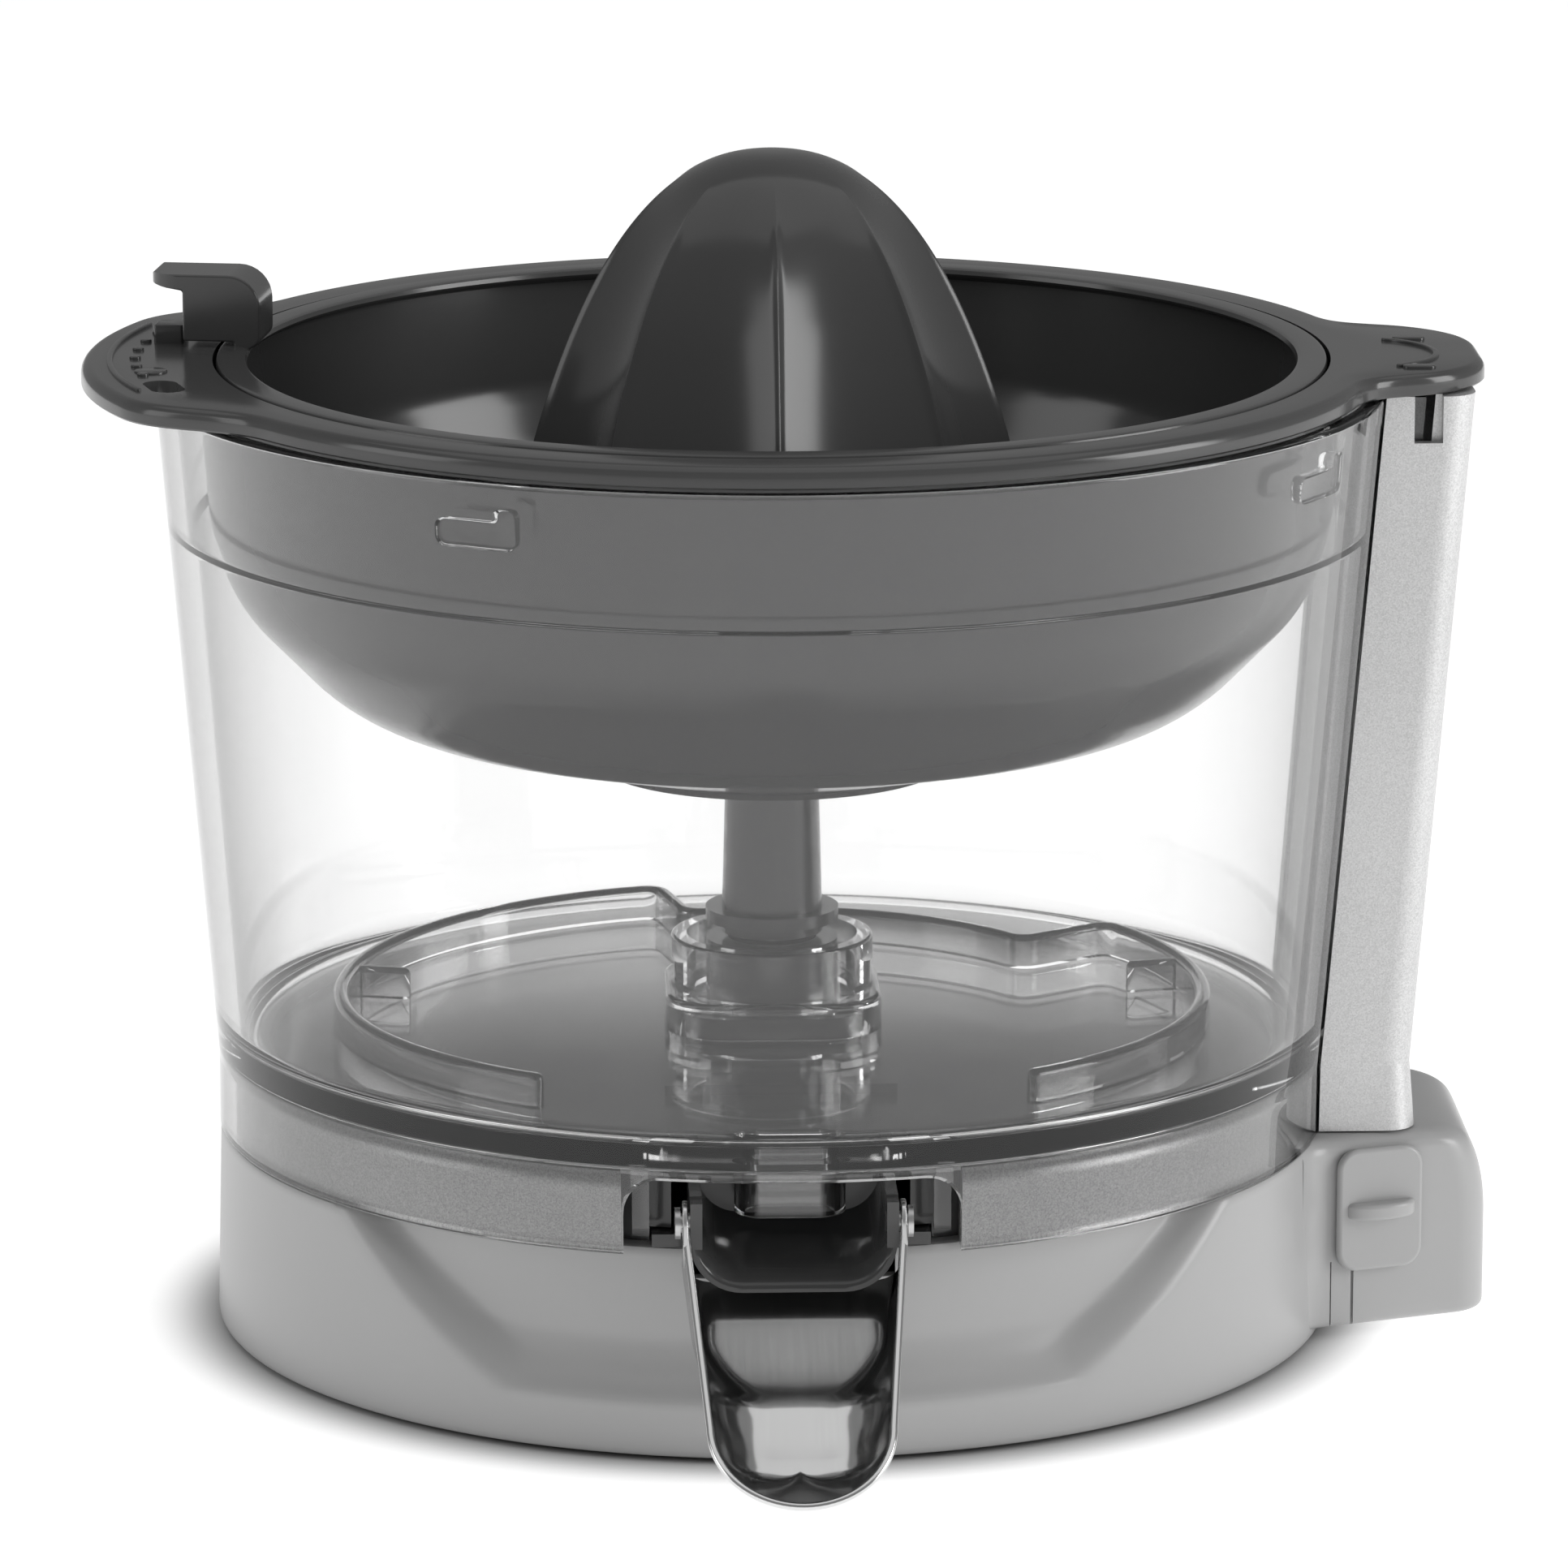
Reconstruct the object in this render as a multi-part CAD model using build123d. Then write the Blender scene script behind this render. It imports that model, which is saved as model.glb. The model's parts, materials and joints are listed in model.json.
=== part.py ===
from build123d import *
import os
from math import acos, cos, pi, radians, sin, sqrt, tan

# Citrus press juicer with a clear juice container on a motor base.
# Millimetres. Origin on the drive axis at the table, +Z up, spout towards -Y, handle column on +X.

# Base
FOOT_PROUD = 0.8          # how far the rubber ring stands below the housing
BASE_R = 89.0             # housing radius at its lower edge
BASE_DRAFT = 0.8          # radius lost from the lower edge to the shelf
BASE_H = 31.5             # housing height up to the shelf
BASE_WALL = 2.4
SHELF_W = 15.0            # shelf on top of the housing, in from the lower edge
SHELF_R = BASE_R - SHELF_W
FACE_GAP = 0.3            # between curved faces that must not touch
FIT = 0.05                # radial clearance of pins, shafts and screws
CUT_OVER = 10.0           # how far a cutter runs past what it cuts

# Scoop in the front of the housing
SCOOP_DEPTH = 6.0
SCOOP_R = BASE_R - SCOOP_DEPTH
SCOOP_SIDE_IN = 33.4      # from the front of the housing back to the side faces at the shelf
SCOOP_SIDE_Y = SCOOP_SIDE_IN - BASE_R
SCOOP_SIDE_SLOPE = 0.97   # forward run of the side faces for each millimetre down
SCOOP_BEND_DROP = 13.5    # from the shelf to the start of the ramp
SCOOP_TOE_DROP = 22.5     # from the shelf to the toe of the ramp

# Trim ring and deck
TRIM_IN = 3.8
TRIM_R = BASE_R - TRIM_IN
TRIM_H = 13.0
TRIM_W = 5.0
TRIM_ROUND = 4.0
DECK_H = 11.0             # deck height above the shelf
DECK_T = 2.0
DECK_GATE = 18.2          # half width of the deck's notch over the chute
DECK_NOTCH_IN = 26.0
DECK_NOTCH_Y = DECK_NOTCH_IN - BASE_R
PEDESTAL_W = 29.0
PEDESTAL_H = 8.4
PEDESTAL_ROUND = 7.0
STEP_W = 36.0             # raised step in front of the pedestal
STEP_BACK_Y = -13.0
STEP_FRONT_Y = -39.0
STEP_H = 1.6
BOSS_R = 10.5
BOSS_H = 18.5             # spindle boss above the deck

# Underside
BOTTOM_T = 2.2
RING_R = 66.0             # rubber ring, outer radius
RING_W = 6.0
RING_GROOVE = 1.0
BASE_SCREW_R = 1.6
BASE_SCREW_ANGLES = (-28.0, 52.0, 128.0, 208.0)
BASE_SCREW_IN = 6.8
BASE_SCREW_CIRCLE = BASE_R - BASE_SCREW_IN
BASE_BOSS_R = 4.2
BASE_BOSS_H = 12.0
BASE_SCREW_SHORT = 2.4    # screw end below the top of its boss

# Gear train
MODULE_FAST = 0.8
MODULE_SLOW = 1.0
WHEEL_TEETH = 48
PINION_TEETH = 12
ADDENDUM = 0.75           # in modules, stubbed so that the small pinions are not undercut
DEDENDUM = 1.0
BACKLASH = 0.16
PRESSURE_ANGLE = 20.0
PLATE_DROP = 15.8         # gear plate underside above the bottom cover
PLATE_T = 2.0
PLATE_W = 63.0
PLATE_MARGIN = 17.0       # plate beyond the spindle and beyond the motor axis
PLATE_ROUND = 12.0
FAST_FACE = 4.0           # face widths of the gears
SLOW_FACE = 6.0
GEAR_GAP = 1.5
GEARBOX_H = 15.0          # inside height between plate and gearbox cover
GEARBOX_T = 2.0
PILLAR_R = 4.0
PILLAR_INSET = 6.5
GEARBOX_SCREW_R = 1.6
SCREW_HEAD_R = 3.2
SCREW_HEAD_H = 1.6
MOTOR_R = 21.0
MOTOR_H = 14.0
MOTOR_SCREW_X = 15.0
MOTOR_HEAD_R = 2.5
MOTOR_HEAD_H = 1.2
MOTOR_NOSE_R = 3.2        # hole for the shaft in the gear plate
MOTOR_SHAFT_R = 1.6
IDLER_PIN_R = 2.0
SHAFT_R = 4.0
BUSH_R = 7.0
BUSH_H = 10.0
BUSH_FLANGE = 2.0
SEAL_H = 1.8

# Drive sleeve
SLEEVE_LOW_R = 8.0
SLEEVE_MID_R = 7.3
SLEEVE_TOP_R = 6.7
SLEEVE_GAP = 1.0          # above the spindle boss
SLEEVE_NECK_H = 2.0
FLANGE_R = 10.6
FLANGE_T = 2.0
SLEEVE_MID_H = 26.0       # from the flange up to the middle radius
HEX_FLATS = 9.6
HEX_H = 32.0
HEX_LEAD = 1.5            # start of the hexagon below the hub of the cone
HEX_GAP = 0.3

# Juice vessel
SKIRT_GAP = 0.7           # between trim ring and skirt
SKIRT_WALL = 2.5
VESSEL_RISE = 11.5        # height of the straight skirt
VESSEL_H = 119.2          # whole vessel, from the shelf to its lip
LIP_WALL = 3.0
VESSEL_WALL = 3.8
LEDGE_DROP = 21.5         # inner ledge below the lip
FLOOR_GAP = 0.5           # between trim ring and vessel floor
FLOOR_T = 3.0
DOME_GAP = 0.7
DOME_WALL = 2.0
CHIMNEY_R = 16.1
CHIMNEY_WALL = 2.5
CHIMNEY_H = 8.0
WINDOW_W = 9.0
WINDOW_H = 4.2
DAM_R = 70.0              # low wall on the vessel floor
DAM_INNER_R = 52.0
DAM_T = 2.4
DAM_H = 5.5
DAM_LEFT = (104.0, 236.5)
DAM_BACK = (34.0, 104.0)
DAM_RIGHT = (-56.5, 34.0)
DAM_RIB_ANGLES = (168.0, 12.0)
DAM_RIB_L = 10.0
ARCH_HALF_W = 25.6
ARCH_H = 12.0
ARCH_ROUND = 5.5
OUTLET_IN = 14.8          # middle of the outlet, in from the front of the housing
OUTLET_Y = OUTLET_IN - BASE_R
OUTLET_W = 17.0
OUTLET_D = 9.0
OUTLET_WALL = 1.6
OUTLET_DROP = 9.8         # below the vessel floor
CLIP_X = 22.9
CLIP_W = 2.6
CLIP_T = 2.0
CLIP_DROP = 11.0
TRACK_ANGLES = (-120.0, -30.0, 60.0, 150.0)
TRACK_W = 13.6
TRACK_H = 4.4
TRACK_BUMP_W = 3.6
TRACK_BUMP_H = 2.0
TRACK_DROP = 10.6         # underside of the track below the lip
TRACK_PROUD = 2.2

# Handle column
COLUMN_W = 42.0
COLUMN_OUT = 12.4         # beyond the vessel wall
COLUMN_ROUND = 5.0
COLUMN_WALL = 2.2
COLUMN_RIB_T = 3.0
COLUMN_RIB_OUT = 4.5
COLUMN_FLARE = 0.8        # extra width at the foot
COLUMN_NOTCH_W = 4.5
COLUMN_NOTCH_H = 7.4
COLUMN_NOTCH_X = 2.4      # from the vessel wall to the notch

# Pod and slide switch
POD_HALF_W = 27.0         # half width at the housing
POD_NOSE_HALF_W = 20.0    # half width where the nose starts to round
POD_SINK = 3.0            # start of the pod inside the housing
POD_FACE_X = BASE_R - POD_SINK
POD_NOSE_OUT = 18.0
POD_NOSE_X = BASE_R + POD_NOSE_OUT
POD_END_OUT = 24.4
POD_END_X = BASE_R + POD_END_OUT
POD_LIFT = 1.5            # above the lower edge of the housing
POD_RISE = 0.8            # top of the pod above the shelf
POD_CROWN = 15.0          # rounding from the top into the nose
POD_ROUND = 7.0
POD_WALL = 2.2
SLIDER_W = 14.6
SLIDER_H = 20.0
SLIDER_T = 1.6
SLIDER_ROUND = 3.4
SLIDER_TOP_DROP = 1.4     # below the top of the pod
SLIDER_ALONG = 9.6        # centre, along the face from its inner corner
SLIDER_GAP = 0.2
SLIDER_TRAVEL = 5.0
RIDGE_W = 11.5
RIDGE_T = 2.6
RIDGE_OUT = 3.0
STEM_W = 5.0
STEM_H = 5.0
STEM_L = 7.0
SLOT_GAP = 0.4
SWITCH_W = 8.4
SWITCH_D = 7.0
SWITCH_H = 13.0

# Outlet chute and spout
CHUTE_W = 31.4
CHUTE_WALL = 1.8
CHUTE_LIP_OUT = 1.0       # beyond the front of the housing
CHUTE_LIP_Y = -BASE_R - CHUTE_LIP_OUT
CHUTE_BACK_IN = 23.0
CHUTE_BACK_Y = CHUTE_BACK_IN - BASE_R
CHUTE_LIP_DROP = 2.8      # inner bottom of the lip below the shelf
CHUTE_SLOPE = 12.0
CHUTE_TOP = 10.6          # walls above the shelf
CHUTE_ROUND = 8.0
WING_W = 5.5
WING_T = 2.0
PIVOT_OUT = 1.6           # beyond the front of the housing
PIVOT_Y = -BASE_R - PIVOT_OUT
PIVOT_RISE = 6.6          # pivot above the shelf
PIN_R = 1.5
PIN_HEAD_R = 2.4
PIN_HEAD_T = 0.8
SPOUT_GAP = 0.35          # beside the chute
SPOUT_WALL = 0.8
SPOUT_TIP_W = 28.0
SPOUT_LEN = 52.0          # from the pivot to the tip
SPOUT_TILT = 40.5         # rim below the horizontal
SPOUT_RIM = 2.6           # rim above the pivot
SPOUT_DEPTH = 13.4        # belly below the pivot
SPOUT_TIP_DEPTH = 9.6
SPOUT_ROUND = 9.0
SPOUT_START = 2.4         # upper edge ahead of the pivot
EAR_R = 3.4

# Strainer bowl
BOWL_TOP_R = 90.2
BOWL_CLEAR = 3.9          # between the top of the bowl and the vessel lip
COLLAR_GAP = 0.4          # between vessel lip and collar
COLLAR_OUT = 4.85         # collar beyond the top of the bowl
COLLAR_R = BOWL_TOP_R + COLLAR_OUT
COLLAR_T = 3.4
COLLAR_ROUND = 1.1
SEAM_IN = 2.3             # inner edge of the collar inside the top of the bowl
SEAM_R = BOWL_TOP_R - SEAM_IN
BOWL_WALL = 2.2
BOWL_SIDE_IN = 1.5        # radii of the bowl, in from its top
BOWL_SIDE_R = BOWL_TOP_R - BOWL_SIDE_IN
BOWL_SIDE_DROP = 21.0     # from the collar to the end of the upright wall
BOWL_HIP_IN = 5.6
BOWL_HIP_R = BOWL_TOP_R - BOWL_HIP_IN
BOWL_HIP_DROP = 33.0
BOWL_KNEE_IN = 22.2
BOWL_KNEE_R = BOWL_TOP_R - BOWL_KNEE_IN
BOWL_KNEE_DROP = 50.6
BOWL_PAN_R = 29.0
BOWL_PAN_DROP = 60.4
BOWL_DEPTH = 61.8
BOWL_ROUNDS = (18.0, 26.0, 30.0, 3.0)
BOWL_BORE = 9.4
BOWL_TUBE_WALL = 2.2
BOWL_TUBE_H = 26.0        # central tube above the bottom of the bowl
LUG_W = 8.0
LUG_H = 2.0
SLOT_COUNT = 24
SLOT_W = 3.0
SLOT_L = 18.0
SLOT_KNEE_GAP = 10.0      # from the knee of the bowl to the slots
SLOT_OUT_R = BOWL_KNEE_R - SLOT_KNEE_GAP
SLOT_IN_R = SLOT_OUT_R - SLOT_L
LEFT_TAB_R = 85.0
LEFT_TAB_OUT = 13.45      # beyond the collar
LEFT_TAB_REACH = COLLAR_R + LEFT_TAB_OUT
LEFT_TAB_HALF_W = 45.0
LEFT_TAB_ROUND = 10.0
TAB_BLEND = 9.0
TAB_SLOT_L = 10.5
TAB_SLOT_W = 5.4
TAB_SLOT_OUT = 3.05       # middle of the slot beyond the collar
TAB_SLOT_R = COLLAR_R + TAB_SLOT_OUT
TAB_SLOT_ANGLE = 195.0
RIGHT_TAB_OUT = 16.95
RIGHT_TAB_REACH = COLLAR_R + RIGHT_TAB_OUT
RIGHT_TAB_HALF_W = 23.5
RIGHT_TAB_ROUND = 12.0

# Pulp basket
BASKET_GAP = 0.5
BASKET_WALL = 2.0
BASKET_RIM_T = 1.6
BASKET_RIM_RISE = 0.3     # above the collar
BASKET_RIM_W = 5.4        # from the seam to the mouth of the basket
MOUTH_R = SEAM_R - BASKET_RIM_W
BASKET_TUBE_GAP = 0.5
BASKET_TUBE_WALL = 1.8
BASKET_TUBE_DROP = 1.5    # below the top of the bowl's tube
LEVER_ANGLE = 171.0
LEVER_W = 12.0
LEVER_H = 11.6
LEVER_IN = 2.3            # inside the mouth of the basket
LEVER_OUT = 5.1           # block beyond the seam
LEVER_HOOK = 5.4          # hook beyond the block
LEVER_IN_R = MOUTH_R - LEVER_IN
LEVER_BLOCK_R = SEAM_R + LEVER_OUT
LEVER_TIP_R = LEVER_BLOCK_R + LEVER_HOOK
LEVER_PLATE_T = 3.0
LEVER_TIP_T = 2.4
LEVER_ROUND = 4.0
LEVER_TIP_ROUND = 1.0
LEVER_EDGE = 0.4
LEVER_LIFT = 0.6          # block above the collar

# Reamer
WASHER_T = 1.6
WASHER_R = 12.6
WASHER_BORE = 8.4
REAMER_R = 43.6
REAMER_H = 80.2
REAMER_TOP_POWER = 1.35
REAMER_SIDE_POWER = 2.4
REAMER_CLEAR = 6.5        # cone base above the basket floor
FLUTES = 8
FLUTE_DISH = 2.0          # concave depth of a flute below a flat chord
FLUTE_END = 0.88          # share of the height where the flutes run out
REAMER_WALL = 3.0
HUB_R = 10.4
REAMER_LEVELS = (0.0, 0.2, 0.4, 0.58, 0.72, 0.83, 0.91, 0.96, 0.99, 0.998)
CAVITY_LEVELS = (0.0, 0.3, 0.55, 0.7)

# Cord inlet
GLAND_R = 6.0
GLAND_BORE = 3.6
GLAND_FLANGE_R = 8.0
GLAND_FLANGE_T = 1.5
GLAND_RISE = 14.0

# Places that follow from the sizes above
base_z = FOOT_PROUD
shelf_z = base_z + BASE_H
bottom_top = base_z + BOTTOM_T
deck_z = shelf_z + DECK_H
boss_z = deck_z + BOSS_H
trim_in_r = TRIM_R - TRIM_W
deck_r = trim_in_r - FACE_GAP
plate_z = bottom_top + PLATE_DROP
plate_top = plate_z + PLATE_T
fast_z = plate_top + GEAR_GAP
slow_z = fast_z + FAST_FACE + GEAR_GAP
cover_z = plate_top + GEARBOX_H
cover_top = cover_z + GEARBOX_T
idler_y = MODULE_SLOW * (WHEEL_TEETH + PINION_TEETH) / 2
motor_y = idler_y + MODULE_FAST * (WHEEL_TEETH + PINION_TEETH) / 2
skirt_r = TRIM_R + SKIRT_GAP
vessel_r = skirt_r + SKIRT_WALL
floor_z = shelf_z + TRIM_H + FLOOR_GAP
floor_top = floor_z + FLOOR_T
lip_z = shelf_z + VESSEL_H
rise_z = shelf_z + VESSEL_RISE
ledge_z = lip_z - LEDGE_DROP
dome_top = deck_z + PEDESTAL_H + DOME_GAP + DOME_WALL
chimney_top = dome_top + CHIMNEY_H
sleeve_z = boss_z + SLEEVE_GAP
flange_z = sleeve_z + SLEEVE_NECK_H
flange_top = flange_z + FLANGE_T
lip_r = BOWL_TOP_R + BOWL_CLEAR + LIP_WALL
VESSEL_DRAFT = (lip_r - vessel_r) / (lip_z - rise_z)   # radius gained for each mm of height
collar_z = lip_z + COLLAR_GAP
collar_top = collar_z + COLLAR_T
bowl_z = collar_z - BOWL_DEPTH
tube_top = bowl_z + BOWL_TUBE_H
tube_r = BOWL_BORE + BOWL_TUBE_WALL
track_z = lip_z - TRACK_DROP
washer_z = tube_top + FACE_GAP
hub_z = washer_z + WASHER_T + FACE_GAP
SLEEVE_LEN = hub_z - HEX_LEAD - flange_top   # from the flange up to the hexagon
hex_z = flange_top + SLEEVE_LEN
hex_top = hex_z + HEX_H
basket_shift = BOWL_WALL + BASKET_GAP
pivot_z = shelf_z + PIVOT_RISE
pod_z = base_z + POD_LIFT
pod_top = shelf_z + POD_RISE
slider_top = pod_top - SLIDER_TOP_DROP
slider_mid = slider_top - SLIDER_H / 2
lip_in_z = shelf_z - CHUTE_LIP_DROP


def disc(r, z0, z1):
    """Upright cylinder on the drive axis."""
    return Pos(0, 0, z0) * Cylinder(r, z1 - z0, align=(Align.CENTER, Align.CENTER, Align.MIN))


def tube(r_out, r_in, z0, z1):
    """Upright ring on the drive axis."""
    return disc(r_out, z0, z1) - disc(r_in, z0, z1)


def block(x0, x1, y0, y1, z0, z1):
    """Box between two corners."""
    middle = Pos((x0 + x1) / 2, (y0 + y1) / 2, (z0 + z1) / 2)
    return middle * Box(x1 - x0, y1 - y0, z1 - z0)


def turned(points):
    """Solid of revolution of a closed outline of (radius, height) points."""
    outline = Polyline(*[(r, 0, z) for r, z in points], close=True)
    return revolve(make_face(outline), Axis.Z)


def slab(sketch, z0, z1):
    """Plan sketch pulled up from z0 to z1."""
    return Pos(0, 0, z0) * extrude(sketch, z1 - z0)


def around(shape, angles):
    """Copies of a shape turned about the drive axis."""
    return [Rot(0, 0, angle) * shape for angle in angles]


def at_angle(r, angle):
    """Point on a circle about the drive axis."""
    return r * cos(radians(angle)), r * sin(radians(angle))


def sector(r_in, r_out, z0, z1, start, end):
    """Part of an upright ring between two angles in degrees."""
    mid = (start + end) / 2
    outer = [at_angle(r_out, a) for a in (start, mid, end)]
    inner = [at_angle(r_in, a) for a in (end, mid, start)]
    edges = [
        ThreePointArc(*outer),
        Line(outer[2], inner[0]),
        ThreePointArc(*inner),
        Line(inner[2], outer[0]),
    ]
    return slab(make_face(edges), z0, z1)


def housing_r(z):
    """Outer radius of the housing wall at a height."""
    return BASE_R - BASE_DRAFT * (z - base_z) / BASE_H


def vessel_out(z):
    """Outer radius of the drafted vessel wall at a height."""
    return vessel_r + VESSEL_DRAFT * (z - rise_z)


def scoop(grow):
    """Space in front of the base: a turned groove in front of one tilted plane."""
    top = shelf_z + BASE_WALL + grow
    reach = BASE_R + CUT_OVER
    bend = shelf_z - SCOOP_BEND_DROP - grow
    toe = shelf_z - SCOOP_TOE_DROP - grow
    back = SCOOP_R - grow
    outline = [
        Line((back, 0, top), (back, 0, bend)),
        TangentArc((back, 0, bend), (BASE_R, 0, toe), tangent=(0, 0, -1)),
        Line((BASE_R, 0, toe), (reach, 0, toe)),
        Line((reach, 0, toe), (reach, 0, top)),
        Line((reach, 0, top), (back, 0, top)),
    ]
    groove = revolve(make_face(outline), Axis.Z)
    shift = grow * sqrt(1 + SCOOP_SIDE_SLOPE ** 2)
    y_top = SCOOP_SIDE_Y + shift + SCOOP_SIDE_SLOPE * (top - shelf_z)
    y_low = SCOOP_SIDE_Y + shift - SCOOP_SIDE_SLOPE * shelf_z
    side = Polyline((0, y_top, top), (0, -reach, top), (0, -reach, 0), (0, y_low, 0), close=True)
    front = extrude(make_face(side), reach, dir=(1, 0, 0), both=True)
    return groove & front


def base_housing():
    """Light grey shell with a shelf on top and a scooped front."""
    shell = turned([(0, base_z), (BASE_R, base_z), (housing_r(shelf_z), shelf_z), (0, shelf_z)])
    low = shelf_z - BASE_WALL
    inside = turned([
        (0, base_z),
        (BASE_R - BASE_WALL, base_z),
        (housing_r(low) - BASE_WALL, low),
        (0, low),
    ])
    body = shell - scoop(0) - (inside - scoop(BASE_WALL)) - disc(SHELF_R, low, shelf_z)
    bosses = []
    for angle in BASE_SCREW_ANGLES:
        x, y = at_angle(BASE_SCREW_CIRCLE, angle)
        boss = Pos(x, y, 0) * tube(BASE_BOSS_R, BASE_SCREW_R + FIT, bottom_top, bottom_top + BASE_BOSS_H)
        bosses.append(boss & disc(BASE_R - BASE_WALL / 2, bottom_top, shelf_z))
    body = body + bosses
    half = CHUTE_W / 2 + FIT
    floor = lip_in_z - CHUTE_WALL - FIT
    body = body - block(-half, half, CHUTE_LIP_Y - BASE_WALL, CHUTE_BACK_Y, floor, shelf_z)
    return body - gland_cutter(GLAND_R + FIT)


def gland_cutter(r):
    """Round hole through the back wall for the cord inlet."""
    return Pos(0, BASE_R, base_z + GLAND_RISE) * Rot(90, 0, 0) * Cylinder(r, CUT_OVER)


def cord_gland():
    """Bush in the back wall where the cord enters."""
    z = base_z + GLAND_RISE
    y = housing_r(z) + FACE_GAP
    turn = Pos(0, y, z) * Rot(90, 0, 0)
    low = (Align.CENTER, Align.CENTER, Align.MIN)
    sleeve = turn * Cylinder(GLAND_R, BASE_WALL + 2 * FACE_GAP, align=low)
    flange = turn * Pos(0, 0, -GLAND_FLANGE_T) * Cylinder(GLAND_FLANGE_R, GLAND_FLANGE_T, align=low)
    return sleeve + flange - turn * Cylinder(GLAND_BORE, 2 * CUT_OVER)


def base_trim_ring():
    """Silver shoulder ring on the shelf, open over the chute."""
    top = shelf_z + TRIM_H
    ring = tube(TRIM_R, trim_in_r, shelf_z, top)
    rim = ring.edges().filter_by(GeomType.CIRCLE).group_by(Axis.Z)[-1].sort_by(SortBy.RADIUS)[-1]
    ring = fillet(rim, TRIM_ROUND)
    return ring - block(-ARCH_HALF_W, ARCH_HALF_W, -BASE_R, 0, shelf_z, top)


def base_top_cover():
    """Dark deck on the shelf with pedestal, step and spindle boss."""
    deck = disc(deck_r, shelf_z, deck_z) - disc(deck_r - DECK_T, shelf_z, deck_z - DECK_T)
    pedestal = RectangleRounded(PEDESTAL_W, PEDESTAL_W, PEDESTAL_ROUND)
    deck = deck + slab(pedestal, deck_z, deck_z + PEDESTAL_H)
    deck = deck + block(-STEP_W / 2, STEP_W / 2, STEP_FRONT_Y, STEP_BACK_Y, deck_z - DECK_T, deck_z + STEP_H)
    deck = deck + disc(BOSS_R, deck_z - DECK_T, boss_z)
    deck = deck - block(-DECK_GATE, DECK_GATE, -BASE_R, DECK_NOTCH_Y, shelf_z, deck_z)
    gate = CHUTE_W / 2 + WING_W + FACE_GAP
    deck = deck - block(-gate, gate, -BASE_R, DECK_NOTCH_Y, shelf_z, shelf_z + WING_T + FACE_GAP)
    deck = deck - disc(SHAFT_R + FACE_GAP, 0, boss_z)
    return deck - disc(BUSH_R + FIT, boss_z - SEAL_H - BUSH_H, boss_z)


def upper_bush():
    """Bronze bush in the spindle boss."""
    top = boss_z - SEAL_H
    return tube(BUSH_R, SHAFT_R + FIT, top - BUSH_H, top)


def spindle_seal():
    """Rubber seal over the upper bush."""
    return tube(BUSH_R, SHAFT_R + FIT, boss_z - SEAL_H, boss_z)


def bottom_cover():
    """Plate under the base with posts for the gear plate."""
    plate = disc(BASE_R - BASE_WALL - FACE_GAP, base_z, bottom_top)
    plate = plate - tube(RING_R + FACE_GAP, RING_R - RING_W - FACE_GAP, base_z, base_z + RING_GROOVE)
    for x, y in pillar_places():
        plate = plate + Pos(x, y, 0) * disc(PILLAR_R, bottom_top, plate_z)
    for x, y in pillar_places():
        plate = plate - Pos(x, y, 0) * disc(GEARBOX_SCREW_R + FIT, bottom_top, plate_z)
    for angle in BASE_SCREW_ANGLES:
        x, y = at_angle(BASE_SCREW_CIRCLE, angle)
        plate = plate - Pos(x, y, 0) * disc(BASE_SCREW_R + FIT, base_z, bottom_top)
        plate = plate - Pos(x, y, 0) * disc(SCREW_HEAD_R + FIT, base_z, base_z + BOTTOM_T / 2)
    return plate


def anti_slip_ring():
    """Rubber ring that the juicer stands on."""
    return tube(RING_R, RING_R - RING_W, 0, base_z + RING_GROOVE)


def base_screws():
    """Screws that hold the bottom cover to the housing."""
    shank = disc(BASE_SCREW_R, base_z + BOTTOM_T / 2, bottom_top + BASE_BOSS_H - BASE_SCREW_SHORT)
    screw = shank + disc(SCREW_HEAD_R, base_z + FACE_GAP, base_z + BOTTOM_T / 2)
    return [Pos(*at_angle(BASE_SCREW_CIRCLE, angle), 0) * screw for angle in BASE_SCREW_ANGLES]


def pillar_places():
    """Places of the four posts that carry the gear plate."""
    x = PLATE_W / 2 - PILLAR_INSET
    front = -PLATE_MARGIN + PILLAR_INSET
    back = motor_y + PLATE_MARGIN - PILLAR_INSET
    return [(sx * x, y) for sx in (-1, 1) for y in (front - PILLAR_INSET, back)]


def plate_outline():
    """Rounded plan of the gear plate and the gearbox cover."""
    front = -PLATE_MARGIN - PILLAR_INSET
    back = motor_y + PLATE_MARGIN
    return Pos(0, (front + back) / 2) * RectangleRounded(PLATE_W, back - front, PLATE_ROUND)


def gear_plate():
    """Steel plate that carries motor, idler pin and lower bush."""
    plate = slab(plate_outline(), plate_z, plate_top)
    plate = plate - disc(BUSH_R + FIT, plate_z, plate_top)
    plate = plate - Pos(0, idler_y, 0) * disc(IDLER_PIN_R + FIT, plate_z, plate_top)
    plate = plate - Pos(0, motor_y, 0) * disc(MOTOR_NOSE_R, plate_z, plate_top)
    for x in (-MOTOR_SCREW_X, MOTOR_SCREW_X):
        plate = plate - Pos(x, motor_y, 0) * disc(GEARBOX_SCREW_R + FIT, plate_z, plate_top)
    for x, y in pillar_places():
        plate = plate - Pos(x, y, 0) * disc(GEARBOX_SCREW_R + FIT, plate_z, plate_top)
    return plate


def lower_bush():
    """Flanged bush of the spindle in the gear plate."""
    bush = disc(BUSH_R, plate_z - BUSH_H / 2, plate_top)
    bush = bush + disc(BUSH_R + BUSH_FLANGE, plate_z - BUSH_FLANGE, plate_z)
    return bush - disc(SHAFT_R + FIT, 0, plate_top)


def idler_pin():
    """Fixed pin of the compound gear."""
    return Pos(0, idler_y, 0) * disc(IDLER_PIN_R, plate_z, cover_z)


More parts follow.
